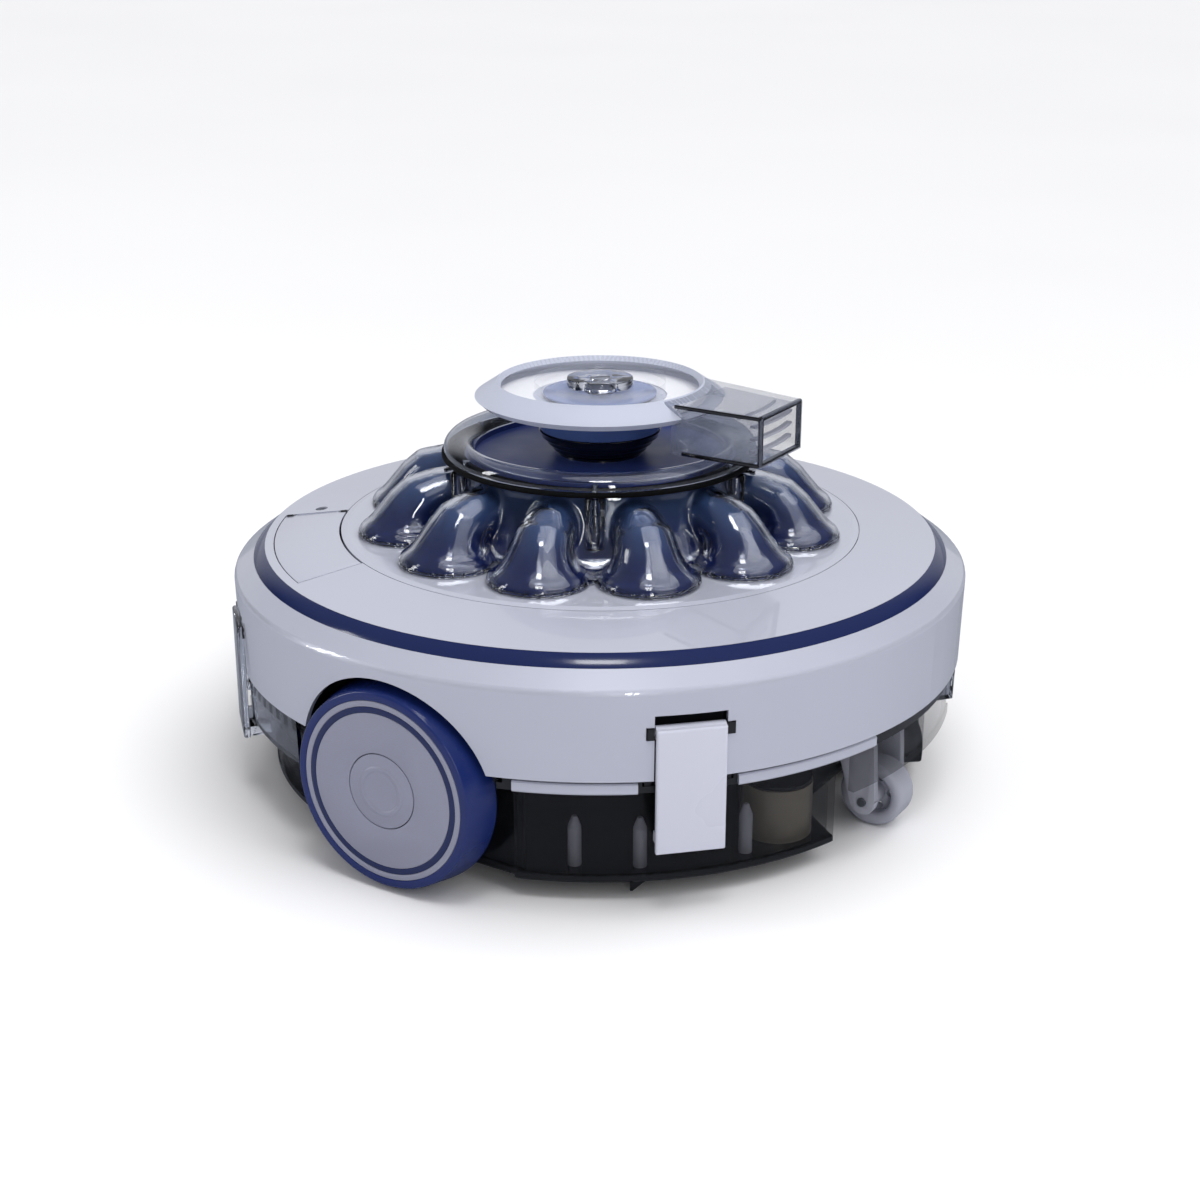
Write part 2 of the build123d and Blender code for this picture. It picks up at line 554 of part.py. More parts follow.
WINDOW_LOW_Z = HEAD_TOP_Z - 5.4
RING_STEP = 3.6
with BuildPart() as nozzle_window:
    ring_points = [
        (WINDOW_R - RING_STEP, WINDOW_LOW_Z), (WINDOW_R, WINDOW_LOW_Z), (WINDOW_R, HEAD_TOP_Z + 0.4),
        (WINDOW_R - 1.6, HEAD_TOP_Z + 0.4), (WINDOW_R - RING_STEP, HEAD_TOP_Z - 2.0),
    ]
    revolve(section(ring_points), Axis.Z)
    with BuildSketch(Plane.XY.offset(WINDOW_LOW_Z)) as pane:
        Circle(WINDOW_R - RING_STEP)
        Circle(POST_R + RUN_GAP, mode=Mode.SUBTRACT)
    extrude(pane.sketch, amount=2.0)
save(nozzle_window, "nozzle_window")

with BuildPart() as nozzle_hub:
    with BuildSketch(Plane.XY.offset(BOWL_TOP_Z + 0.3)):
        Circle(HUB_R)
        Circle(HUB_R - HUB_WALL, mode=Mode.SUBTRACT)
    extrude(amount=HEAD_LOW_Z - BOWL_TOP_Z - 0.3)
save(nozzle_hub, "nozzle_hub")

KNOB_LOW_Z = WINDOW_LOW_Z + 2.4
with BuildPart() as lock_knob:
    with BuildSketch(Plane.XY.offset(KNOB_LOW_Z)) as knob_plan:
        Circle(KNOB_R)
        with PolarLocations(KNOB_R + 3.0, 2, start_angle=90):
            Circle(5.0, mode=Mode.SUBTRACT)
    extrude(knob_plan.sketch, amount=KNOB_TOP_Z - KNOB_LOW_Z)
    with BuildSketch(Plane.XY.offset(KNOB_LOW_Z)) as knob_bore:
        Circle(POST_R + RUN_GAP)
    extrude(knob_bore.sketch, amount=POST_TOP_Z + 0.3 - KNOB_LOW_Z, mode=Mode.SUBTRACT)
save(lock_knob, "lock_knob")

# ---- wheels ------------------------------------------------------------------------------------------
TYRE_FACE_R = WHEEL_R - 3.4
GROOVE_IN_R, GROOVE_OUT_R, GROOVE_DEEP = HUB_FACE_R - 5.5, HUB_FACE_R - 2.7, 1.5
CAP_GAP, CAP_DEEP = 0.4, 3.0
HUB_PLATE = 5.0
SCREW_HEAD_R, SCREW_HEAD_H = 5.5, 1.7
SCREW_SHANK_R, SCREW_SHANK_L = 1.6, 8.0
HUB_BOSS_R = 9.0
AXLE_END_Y = WHEEL_FACE_Y - HUB_PLATE - 1.2
hub_points = [
    (AXLE_R + RUN_GAP, WHEEL_BACK_Y), (HUB_BOSS_R, WHEEL_BACK_Y), (HUB_BOSS_R, WHEEL_FACE_Y - HUB_PLATE),
    (HUB_FACE_R - 4.0, WHEEL_FACE_Y - HUB_PLATE), (HUB_FACE_R - 4.0, WHEEL_BACK_Y), (HUB_FACE_R, WHEEL_BACK_Y),
    (HUB_FACE_R, WHEEL_FACE_Y), (GROOVE_OUT_R, WHEEL_FACE_Y), (GROOVE_OUT_R, WHEEL_FACE_Y - GROOVE_DEEP),
    (GROOVE_IN_R, WHEEL_FACE_Y - GROOVE_DEEP), (GROOVE_IN_R, WHEEL_FACE_Y), (CAP_R + CAP_GAP, WHEEL_FACE_Y),
    (CAP_R + CAP_GAP, WHEEL_FACE_Y - CAP_DEEP), (SCREW_HEAD_R + 1.0, WHEEL_FACE_Y - CAP_DEEP),
    (SCREW_HEAD_R + 1.0, AXLE_END_Y), (AXLE_R + RUN_GAP, AXLE_END_Y),
]
tyre_points = [
    (HUB_FACE_R, WHEEL_BACK_Y), (WHEEL_R - 1.0, WHEEL_BACK_Y), (WHEEL_R, WHEEL_BACK_Y + 1.6),
    (WHEEL_R - 0.5, WHEEL_BACK_Y + 5.0), (TYRE_FACE_R + 0.4, WHEEL_FACE_Y - 0.8), (TYRE_FACE_R, WHEEL_FACE_Y),
    (HUB_FACE_R, WHEEL_FACE_Y),
]
ring_band = [
    (GROOVE_IN_R, WHEEL_FACE_Y - GROOVE_DEEP), (GROOVE_OUT_R, WHEEL_FACE_Y - GROOVE_DEEP),
    (GROOVE_OUT_R, WHEEL_FACE_Y - 0.1), (GROOVE_IN_R, WHEEL_FACE_Y - 0.1),
]
EMBOSS = 0.4
cap_points = [
    (0, WHEEL_FACE_Y - CAP_DEEP), (CAP_R, WHEEL_FACE_Y - CAP_DEEP), (CAP_R, WHEEL_FACE_Y),
    (11.4, WHEEL_FACE_Y), (11.0, WHEEL_FACE_Y + EMBOSS), (9.4, WHEEL_FACE_Y + EMBOSS), (9.0, WHEEL_FACE_Y),
    (0, WHEEL_FACE_Y),
]
for side_name, side in SIDES.items():
    with BuildPart() as tyre:
        revolve(wheel_section(tyre_points, side), WHEEL_AXIS)
    save(tyre, side_name + "_tyre")
    with BuildPart() as hub_disc:
        revolve(wheel_section(hub_points, side), WHEEL_AXIS)
    save(hub_disc, side_name + "_hub_disc")
    with BuildPart() as trim_ring:
        revolve(wheel_section(ring_band, side), WHEEL_AXIS)
    save(trim_ring, side_name + "_trim_ring")
    with BuildPart() as centre_cap:
        revolve(wheel_section(cap_points, side), WHEEL_AXIS)
    save(centre_cap, side_name + "_centre_cap")

BRACKET_LOW_Z = AXLE_Z - 10.0
BRACKET_IN_Y, BRACKET_OUT_Y = WHEEL_BACK_Y - 8.4, WHEEL_BACK_Y - 2.0
BRACKET_HALF = 14.0
with BuildPart() as screws:
    for side in SIDES.values():
        with BuildSketch(Plane.XZ.offset(-side * AXLE_END_Y)) as shank:
            with Locations((0, AXLE_Z)):
                Circle(SCREW_SHANK_R)
        extrude(shank.sketch, amount=side * SCREW_SHANK_L)
        with BuildSketch(Plane.XZ.offset(-side * AXLE_END_Y)) as head:
            with Locations((0, AXLE_Z)):
                Circle(SCREW_HEAD_R)
        extrude(head.sketch, amount=-side * SCREW_HEAD_H)
    with BuildSketch(Plane.XY.offset(BOSS_LOW_Z + 6.0)) as dome_shanks:
        with PolarLocations(BOSS_PLACE_R, LOBES // 2):
            Circle(DOME_SCREW_R)
    extrude(dome_shanks.sketch, amount=COLLAR_LOW_Z + 3.0 - BOSS_LOW_Z - 6.0)
save(screws, "screws")

# ---- wheel wells: smoked liners behind the arches ----------------------------------------------------
WELL_WALL = 2.0
WELL_BACK_Y = WHEEL_BACK_Y - 8.0
NOTCH_HALF = ARCH_R + WELL_WALL + 0.5
with BuildPart() as wheel_wells:
    for side in SIDES.values():
        with BuildSketch(Plane.XZ.offset(-side * WELL_BACK_Y)) as liner:
            with Locations((0, AXLE_Z)):
                Circle(ARCH_R + WELL_WALL)
                Circle(ARCH_R, mode=Mode.SUBTRACT)
        extrude(liner.sketch, amount=-side * (SHELL_R - WELL_BACK_Y))
        with BuildSketch(Plane.XZ.offset(-side * WELL_BACK_Y)) as back:
            with Locations((0, AXLE_Z)):
                Circle(ARCH_R + WELL_WALL)
        extrude(back.sketch, amount=-side * WELL_WALL)
    with BuildSketch(Plane.XY.offset(BASE_TOP_Z)) as inside_skirt:
        Circle(SKIRT_LOW_R - SHELL_WALL - PART_GAP)
    extrude(inside_skirt.sketch, amount=FAR, mode=Mode.INTERSECT)
save(wheel_wells, "wheel_wells")

# ---- dust tray ------------------------------------------------------------------------------------------
CASTER_NOTCH_X, CASTER_NOTCH_HALF = CASTER_X - 27.0, 27.0
CASTER_NOTCH_FAR_X, CASTER_NOTCH_FAR_HALF = SHELL_R, 67.5


def tray_plan(inset, z):
    """Plan of the tray on a level plane: a disc with room for the wheels and the casters, less an inset."""
    slope = (CASTER_NOTCH_FAR_HALF - CASTER_NOTCH_HALF) / (CASTER_NOTCH_FAR_X - CASTER_NOTCH_X)
    grow = inset * math.sqrt(1 + slope * slope)
    near_x = CASTER_NOTCH_X - inset
    near_half = CASTER_NOTCH_HALF - inset * slope + grow
    far_half = CASTER_NOTCH_FAR_HALF + grow
    with BuildSketch(Plane.XY.offset(z)) as plan:
        Circle(TRAY_R - inset)
        for side in SIDES.values():
            with Locations((0, side * (WELL_BACK_Y - 1.0 - inset + TRAY_R / 2))):
                Rectangle(2 * (ARCH_R + 0.5 + inset), TRAY_R, mode=Mode.SUBTRACT)
        for end in (-1, 1):
            with BuildLine():
                Polyline((end * near_x, -near_half), (end * CASTER_NOTCH_FAR_X, -far_half),
                         (end * CASTER_NOTCH_FAR_X, far_half), (end * near_x, near_half), close=True)
            make_face(mode=Mode.SUBTRACT)
    return plan.sketch


FIN_AZ, FIN_R, FIN_LONG, FIN_DEEP, FIN_THICK = 38.2, TRAY_R - 4.0, 9.0, 6.0, 1.6
KEEPER_HALF, KEEPER_OUT_R = 11.0, BASE_R
KEEPER_LOW_Z, KEEPER_TOP_Z = LATCH_LOW_Z + 5.8, LATCH_LOW_Z + 10.8
with BuildPart() as dust_tray:
    extrude(tray_plan(0, TRAY_LOW_Z), amount=TRAY_TOP_Z - TRAY_LOW_Z)
    corners = dust_tray.edges().group_by(Axis.Z)[0]
    chamfer(corners, 1.0)
    extrude(tray_plan(TRAY_WALL, FLOOR_TOP_Z), amount=FAR, mode=Mode.SUBTRACT)
    for az in LATCH_PLACES.values():
        with BuildSketch(facing(az, KEEPER_OUT_R, (KEEPER_LOW_Z + KEEPER_TOP_Z) / 2)) as keeper:
            Rectangle(2 * KEEPER_HALF, KEEPER_TOP_Z - KEEPER_LOW_Z)
        extrude(keeper.sketch, amount=-(KEEPER_OUT_R - TRAY_R + TRAY_WALL / 2 + 0.6))
    for az in (INLET_AZ, INLET_AZ + 180.0):
        with BuildSketch(standing(az, INLET_PLACE_R, TRAY_LOW_Z)) as inlet_hole:
            Circle(INLET_R - INLET_WALL)
        extrude(inlet_hole.sketch, amount=TRAY_WALL, mode=Mode.SUBTRACT)
    for az in (FIN_AZ, FIN_AZ + 180.0):
        with BuildSketch(facing(az, FIN_R, TRAY_LOW_Z)) as fin:
            with BuildLine():
                Polyline((-FIN_LONG / 2, 0.5), (FIN_LONG / 2, 0.5), (-FIN_LONG / 2 + 1.0, -FIN_DEEP),
                         (-FIN_LONG / 2, -FIN_DEEP), close=True)
            make_face()
        extrude(fin.sketch, amount=-FIN_THICK)
save(dust_tray, "dust_tray")

SEAL_RING_R, SEAL_RING_H = 12.0, 5.0
with BuildPart() as rubber_seals:
    with BuildSketch(Plane.XY.offset(TRAY_TOP_Z)) as tray_seal:
        add(tray_plan(0, TRAY_TOP_Z))
        add(tray_plan(TRAY_WALL, TRAY_TOP_Z), mode=Mode.SUBTRACT)
    extrude(tray_seal.sketch, amount=BASE_LOW_Z - TRAY_TOP_Z)
    with BuildSketch(Plane.XY.offset(NECK_TOP_Z)) as collar_seal:
        Circle(COLLAR_R)
        Circle(HOUSING_R + PART_GAP, mode=Mode.SUBTRACT)
        with PolarLocations(BOSS_PLACE_R, LOBES // 2):
            Circle(DOME_SCREW_R, mode=Mode.SUBTRACT)
    extrude(collar_seal.sketch, amount=SEAL_THICK)
    with BuildSketch(Plane.XY.offset(MOTOR_TOP_Z)) as shaft_seal:
        Circle(SEAL_RING_R)
        Circle(SHAFT_R + RUN_GAP, mode=Mode.SUBTRACT)
    extrude(shaft_seal.sketch, amount=SEAL_RING_H)
save(rubber_seals, "rubber_seals")

PIN_TIP_Z, PIN_BODY_Z, PIN_R = 35.0, 30.0, 3.0
GUIDE_PLACES = [(27.5, TRAY_R - 13.0), (38.4, TRAY_R - 11.0), (57.0, TRAY_R - 11.0)]
with BuildPart() as guide_pins:
    for az, r in GUIDE_PLACES + [(az + 180.0, r) for az, r in GUIDE_PLACES]:
        with BuildSketch(standing(az, r, FLOOR_TOP_Z)) as pin_foot:
            Circle(PIN_R)
        extrude(pin_foot.sketch, amount=PIN_BODY_Z - FLOOR_TOP_Z)
        with BuildSketch(standing(az, r, PIN_BODY_Z)) as cone_foot:
            Circle(PIN_R)
        with BuildSketch(standing(az, r, PIN_TIP_Z)) as cone_tip:
            Circle(1.2)
        loft([cone_foot.sketch, cone_tip.sketch])
save(guide_pins, "guide_pins")

# ---- inlet tubes, flaps and their pins ------------------------------------------------------------------
FLAP_THICK = 1.4
FLAP_LOW_Z = INLET_TOP_Z + 0.3
FLAP_HINGE_R = INLET_PLACE_R - INLET_R - 3.4
FLAP_HINGE_Z = INLET_TOP_Z + 1.6
FLAP_PIN_R = 1.0
KNUCKLE_R = 1.9
KNUCKLE_HALF = 5.0
with BuildPart() as inlet_tubes:
    for az in (INLET_AZ, INLET_AZ + 180.0):
        with BuildSketch(standing(az, INLET_PLACE_R, FLOOR_TOP_Z)) as tube:
            Circle(INLET_R)
            Circle(INLET_R - INLET_WALL, mode=Mode.SUBTRACT)
        extrude(tube.sketch, amount=INLET_TOP_Z - FLOOR_TOP_Z)
        for end in (-1, 1):
            with BuildSketch(facing(az, FLAP_HINGE_R - 2.4, 0)) as lug:
                with Locations((end * (KNUCKLE_HALF + 1.6), (INLET_TOP_Z - 8.0 + FLAP_HINGE_Z + 2.0) / 2)):
                    Rectangle(2.4, FLAP_HINGE_Z + 2.0 - INLET_TOP_Z + 8.0)
            extrude(lug.sketch, amount=7.8)
        with BuildSketch(standing(az, INLET_PLACE_R, INLET_TOP_Z)) as flap_room:
            Circle(INLET_R + PART_GAP)
        extrude(flap_room.sketch, amount=INLET_R, mode=Mode.SUBTRACT)
        with BuildSketch(pin_plane(az, FLAP_HINGE_R, FLAP_HINGE_Z)) as pin_way:
            Circle(FLAP_PIN_R)
        extrude(pin_way.sketch, amount=KNUCKLE_HALF + 6.0, both=True, mode=Mode.SUBTRACT)
save(inlet_tubes, "inlet_tubes")

for name, az in {"inlet_flap_front": INLET_AZ, "inlet_flap_rear": INLET_AZ + 180.0}.items():
    with BuildPart() as inlet_flap:
        with BuildSketch(standing(az, INLET_PLACE_R, FLAP_LOW_Z)) as flap_disc:
            Circle(INLET_R - 0.6)
            with Locations((-(INLET_R + 3.4) / 2, 0)):
                Rectangle(INLET_R + 3.4, 2 * KNUCKLE_HALF)
        extrude(flap_disc.sketch, amount=FLAP_THICK)
        hinge_line = pin_plane(az, FLAP_HINGE_R, FLAP_HINGE_Z)
        with BuildSketch(hinge_line) as knuckle:
            Circle(KNUCKLE_R)
        extrude(knuckle.sketch, amount=KNUCKLE_HALF, both=True)
        with BuildSketch(hinge_line) as knuckle_bore:
            Circle(FLAP_PIN_R + RUN_GAP)
        extrude(knuckle_bore.sketch, amount=KNUCKLE_HALF + 1.0, both=True, mode=Mode.SUBTRACT)
    save(inlet_flap, name)

# ---- filter under the base plate ---------------------------------------------------------------------
FRAME_LOW_Z = BASE_LOW_Z - 4.0
FRAME_BAND = 6.0
FRAME_GAP = 1.0
SCREEN_THICK = 0.8
RIB_HALF = 1.5
with BuildPart() as filter_frame:
    with BuildSketch(Plane.XY.offset(FRAME_LOW_Z)) as frame_plan:
        add(tray_plan(TRAY_WALL + FRAME_GAP, FRAME_LOW_Z))
        add(tray_plan(TRAY_WALL + FRAME_GAP + FRAME_BAND, FRAME_LOW_Z), mode=Mode.SUBTRACT)
    extrude(frame_plan.sketch, amount=BASE_LOW_Z - FRAME_LOW_Z)
    with BuildSketch(Plane.XY.offset(FRAME_LOW_Z)) as frame_ribs:
        for rib in range(-3, 4):
            with Locations((rib * 40.0, 0)):
                Rectangle(2 * RIB_HALF, FAR)
        for rib in range(-3, 4):
            with Locations((0, rib * 40.0)):
                Rectangle(FAR, 2 * RIB_HALF)
        add(tray_plan(TRAY_WALL + FRAME_GAP + FRAME_BAND / 2, FRAME_LOW_Z), mode=Mode.INTERSECT)
    extrude(frame_ribs.sketch, amount=BASE_LOW_Z - FRAME_LOW_Z - 1.0)
save(filter_frame, "filter_frame")

with BuildPart() as filter_screen:
    extrude(tray_plan(TRAY_WALL + FRAME_GAP, FRAME_LOW_Z - SCREEN_THICK), amount=SCREEN_THICK)
save(filter_screen, "filter_screen")

# ---- base plate -----------------------------------------------------------------------------------------
UPSTAND_WALL, UPSTAND_H = 2.2, 8.0
POST_AZ_FROM, SHELL_POST_R, SHELL_POST_PLACE_R = 30.0, 5.0, 114.0
with BuildPart() as base_plate:
    with BuildSketch(Plane.XY.offset(BASE_LOW_Z)) as base_plan:
        Circle(BASE_R)
        Circle(SUCTION_R - 3.0, mode=Mode.SUBTRACT)
        with PolarLocations(WELL_BACK_Y + TRAY_R / 2 + 0.5, 2, start_angle=90):
            Rectangle(TRAY_R, 2 * ARCH_R, mode=Mode.SUBTRACT)
    extrude(base_plan.sketch, amount=BASE_THICK)
    with BuildSketch(Plane.XY.offset(BASE_TOP_Z)) as upstand:
        Circle(BASE_R)
        Circle(BASE_R - UPSTAND_WALL, mode=Mode.SUBTRACT)
        with PolarLocations(WELL_BACK_Y + TRAY_R / 2, 2, start_angle=90):
            Rectangle(TRAY_R, 2 * NOTCH_HALF, mode=Mode.SUBTRACT)
        for az in LATCH_PLACES.values():
            corner = out_dir(az) * BASE_R
            with Locations(Location((corner.X, corner.Y), az)):
                Rectangle(2 * (EAR_HALF + 1.0), 30.0, mode=Mode.SUBTRACT)
    extrude(upstand.sketch, amount=UPSTAND_H)
    with BuildSketch(Plane.XY.offset(BASE_TOP_Z)) as post_plan:
        with PolarLocations(SHELL_POST_PLACE_R, 6, start_angle=POST_AZ_FROM):
            Circle(SHELL_POST_R)
            Circle(1.8, mode=Mode.SUBTRACT)
    extrude(post_plan.sketch, amount=DECK_TOP_Z - SHELL_WALL - BASE_TOP_Z)
    for side in SIDES.values():
        with BuildSketch(Plane.XZ.offset(-side * BRACKET_IN_Y)) as bracket:
            with Locations((0, (BRACKET_LOW_Z + BASE_TOP_Z) / 2)):
                Rectangle(2 * BRACKET_HALF, BASE_TOP_Z - BRACKET_LOW_Z)
            with Locations((0, AXLE_Z)):
                Circle(AXLE_R, mode=Mode.SUBTRACT)
        extrude(bracket.sketch, amount=-side * (BRACKET_OUT_Y - BRACKET_IN_Y))
save(base_plate, "base_plate")

# ---- strips and bands under the skirt -------------------------------------------------------------------
STRIP_LOW_Z, STRIP_TOP_Z, STRIP_OUT_R = BASE_LOW_Z, BASE_LOW_Z + 5.0, SHELL_R - 2.4
strip_points = [
    (BASE_R, STRIP_LOW_Z + 0.6), (STRIP_OUT_R - 0.6, STRIP_LOW_Z), (STRIP_OUT_R, STRIP_LOW_Z + 0.8),
    (STRIP_OUT_R, STRIP_TOP_Z - 0.6), (STRIP_OUT_R - 0.6, STRIP_TOP_Z), (BASE_R, STRIP_TOP_Z),
]
with BuildPart() as lip_strips:
    for az_from, az_to in ((19.5, 37.0), (51.4, 76.0), (199.5, 217.0), (231.4, 256.0)):
        revolve(section(strip_points, az_from), Axis.Z, revolution_arc=az_to - az_from)
save(lip_strips, "lip_strips")

CLEAR_LOW_Z, CLEAR_TOP_Z, CLEAR_OUT_R = BASE_LOW_Z - 15.0, SKIRT_LOW_Z - 1.0, SHELL_R - 1.8
clear_points = [
    (BASE_R, CLEAR_TOP_Z), (CLEAR_OUT_R, CLEAR_TOP_Z), (CLEAR_OUT_R - 0.6, CLEAR_LOW_Z),
    (TRAY_R + 1.0, CLEAR_LOW_Z - 3.0), (TRAY_R + 1.0, CLEAR_LOW_Z - 0.8), (BASE_R, CLEAR_LOW_Z + 2.0),
]
with BuildPart() as clear_bands:
    for az_from, az_to in ((-70.0, -50.0), (-38.6, -19.0), (110.0, 130.0), (141.4, 161.0)):
        revolve(section(clear_points, az_from), Axis.Z, revolution_arc=az_to - az_from)
save(clear_bands, "clear_bands")

# ---- casters ---------------------------------------------------------------------------------------------
SHROUD_OUT_R, SHROUD_WALL, SHROUD_LOW_Z = SHELL_R - 5.0, 2.4, BASE_LOW_Z - 19.0
shroud_points = [
    (SHROUD_OUT_R - SHROUD_WALL, BASE_LOW_Z), (SHROUD_OUT_R, BASE_LOW_Z), (SHROUD_OUT_R, SHROUD_LOW_Z + 4.0),
    (SHROUD_OUT_R + 0.8, SHROUD_LOW_Z + 4.0), (SHROUD_OUT_R + 0.8, SHROUD_LOW_Z),
    (SHROUD_OUT_R - SHROUD_WALL, SHROUD_LOW_Z),
]
with BuildPart() as caster_shrouds:
    for az in CASTER_AZ:
        revolve(section(shroud_points, az - 18.0), Axis.Z, revolution_arc=36.0)
save(caster_shrouds, "caster_shrouds")

ARM_IN_Y, ARM_THICK, ARM_BOSS_R = 12.5, 4.5, 6.2
BRACKET_PLATE = 3.0
with BuildPart() as caster_brackets:
    for end in (-1, 1):
        for side in (-1, 1):
            with BuildSketch(Plane.XZ.offset(-side * ARM_IN_Y)) as arm:
                with BuildLine():
                    Polyline((end * (CASTER_X - 18.0), BASE_LOW_Z), (end * (CASTER_X + 4.0), BASE_LOW_Z),
                             (end * (CASTER_X + ARM_BOSS_R), CASTER_R + 1.0),
                             (end * (CASTER_X - ARM_BOSS_R), CASTER_R - 1.0), close=True)
                make_face()
                with Locations((end * CASTER_X, CASTER_R)):
                    Circle(ARM_BOSS_R)
                    Circle(CASTER_AXLE_R, mode=Mode.SUBTRACT)
            extrude(arm.sketch, amount=-side * ARM_THICK)
        with BuildSketch(Plane.XY.offset(BASE_LOW_Z - BRACKET_PLATE)) as bracket_plate:
            with Locations((end * (CASTER_X - 7.0), 0)):
                Rectangle(22.0, 2 * (ARM_IN_Y + ARM_THICK))
        extrude(bracket_plate.sketch, amount=BRACKET_PLATE)
save(caster_brackets, "caster_brackets")

with BuildPart() as axles:
    for side in SIDES.values():
        with BuildSketch(Plane.XZ.offset(-side * BRACKET_IN_Y)) as axle:
            with Locations((0, AXLE_Z)):
                Circle(AXLE_R)
        extrude(axle.sketch, amount=-side * (AXLE_END_Y - BRACKET_IN_Y))
        with BuildSketch(Plane.XZ.offset(-side * AXLE_END_Y)) as thread:
            with Locations((0, AXLE_Z)):
                Circle(SCREW_SHANK_R)
        extrude(thread.sketch, amount=side * SCREW_SHANK_L, mode=Mode.SUBTRACT)
    for end in (-1, 1):
        with BuildSketch(Plane.XZ) as roller_axle:
            with Locations((end * CASTER_X, CASTER_R)):
                Circle(CASTER_AXLE_R)
        extrude(roller_axle.sketch, amount=ARM_IN_Y + ARM_THICK + 1.0, both=True)
save(axles, "axles")

HUB_OF_ROLLER_R = 5.0
RIM_IN = 9.5
for name, end in {"roller_front": 1, "roller_rear": -1}.items():
    with BuildPart() as roller:
        with BuildSketch(Plane(origin=(end * CASTER_X, 0, CASTER_R), x_dir=(1, 0, 0), z_dir=(0, 0, 1))) as rim:
            with Locations(((CASTER_R + RIM_IN) / 2, 0)):
                RectangleRounded(CASTER_R - RIM_IN, CASTER_WIDTH, 2.9)
            with Locations(((CASTER_AXLE_R + RUN_GAP + HUB_OF_ROLLER_R) / 2, 0)):
                Rectangle(HUB_OF_ROLLER_R - CASTER_AXLE_R - RUN_GAP, 2 * ARM_IN_Y - 1.0)
            with Locations(((HUB_OF_ROLLER_R + RIM_IN) / 2, 0)):
                Rectangle(RIM_IN - HUB_OF_ROLLER_R + 1.0, 3.0)
        revolve(rim.sketch, Axis((end * CASTER_X, 0, CASTER_R), (0, 1, 0)))
        with BuildSketch(Plane(origin=(end * CASTER_X, 0, CASTER_R), x_dir=(1, 0, 0), z_dir=(0, -1, 0))) as gaps:
            with PolarLocations((HUB_OF_ROLLER_R + RIM_IN) / 2, 5):
                Circle(1.9)
        extrude(gaps.sketch, amount=CASTER_WIDTH, both=True, mode=Mode.SUBTRACT)
    save(roller, name)

# ---- latches, their pins and pockets -----------------------------------------------------------------------
HOOK_IN_R, HOOK_TOP_Z = TRAY_R + 2.5, KEEPER_LOW_Z - 0.8
HOOK_HALF = 13.0
BARREL_R = 3.0
POCKET_BACK_R = SHELL_R - 11.0
POCKET_WALL = 2.0
for name, az in LATCH_PLACES.items():
    with BuildPart() as latch:
        with BuildSketch(facing(az, LATCH_OUT, (LATCH_LOW_Z + LATCH_TOP_Z) / 2)) as plate:
            Rectangle(LATCH_WIDTH, LATCH_TOP_Z - LATCH_LOW_Z)
        extrude(plate.sketch, amount=-LATCH_THICK)
        front_edges = latch.faces().sort_by(Axis((0, 0, 0), tuple(out_dir(az))))[-1].edges()
        chamfer(front_edges, 0.7)
        with BuildSketch(facing(az, LATCH_OUT - LATCH_THICK, (LATCH_LOW_Z + HOOK_TOP_Z) / 2)) as hook:
            Rectangle(2 * HOOK_HALF, HOOK_TOP_Z - LATCH_LOW_Z)
        extrude(hook.sketch, amount=-(LATCH_OUT - LATCH_THICK - HOOK_IN_R))
        pivot = pin_plane(az, LATCH_PIVOT_R, LATCH_PIVOT_Z)
        with BuildSketch(pivot) as latch_barrel:
            Circle(BARREL_R)
        extrude(latch_barrel.sketch, amount=LATCH_WIDTH / 2, both=True)
        with BuildSketch(pivot) as barrel_bore:
            Circle(LATCH_PIN_R + RUN_GAP)
        extrude(barrel_bore.sketch, amount=LATCH_WIDTH, both=True, mode=Mode.SUBTRACT)
    save(latch, name)

POCKET_OUT_R, EAR_OUT_R = SHELL_R - 5.4, SHELL_R - 0.6
EAR_IN_HALF = LATCH_WIDTH / 2 + 0.6
with BuildPart() as latch_pockets:
    for az in LATCH_PLACES.values():
        with BuildSketch(facing(az, POCKET_BACK_R, (BASE_TOP_Z + SLOT_TOP_Z + POCKET_WALL) / 2)) as block:
            Rectangle(2 * EAR_HALF, SLOT_TOP_Z + POCKET_WALL - BASE_TOP_Z)
        extrude(block.sketch, amount=POCKET_OUT_R - POCKET_BACK_R)
        with BuildSketch(facing(az, POCKET_BACK_R + POCKET_WALL, (BASE_TOP_Z + SLOT_TOP_Z) / 2)) as hollow:
            Rectangle(2 * EAR_IN_HALF, SLOT_TOP_Z - BASE_TOP_Z)
        extrude(hollow.sketch, amount=POCKET_OUT_R, mode=Mode.SUBTRACT)
        for end in (-1, 1):
            with BuildSketch(facing(az, POCKET_OUT_R, LATCH_PIVOT_Z)) as ear:
                with Locations((end * (EAR_HALF + EAR_IN_HALF) / 2, 0)):
                    Rectangle(EAR_HALF - EAR_IN_HALF, EAR_Z)
            extrude(ear.sketch, amount=EAR_OUT_R - POCKET_OUT_R)
        with BuildSketch(pin_plane(az, LATCH_PIVOT_R, LATCH_PIVOT_Z)) as ear_bore:
            Circle(LATCH_PIN_R)
        extrude(ear_bore.sketch, amount=EAR_HALF + 1.0, both=True, mode=Mode.SUBTRACT)
save(latch_pockets, "latch_pockets")

# ---- hatch: well, lid on a radial pin, socket, button, lamp -------------------------------------------------
HATCH_GAP_DEG = 0.3
WELL_THICK = 2.0
WELL_OUT_R = HATCH_OUT_R + 0.8
HINGE_DROP = 1.2
HINGE_SIDE = 1.6
HATCH_PIN_R = 0.6
HATCH_KNUCKLE_R = 1.15
SLOPE = (DECK_EDGE_Z - COVER_EDGE_Z) / (COVER_R - DECK_R)
hinge_az = HATCH_FROM
hinge_dir = (out_dir(hinge_az) + Vector(0, 0, -SLOPE)).normalized()


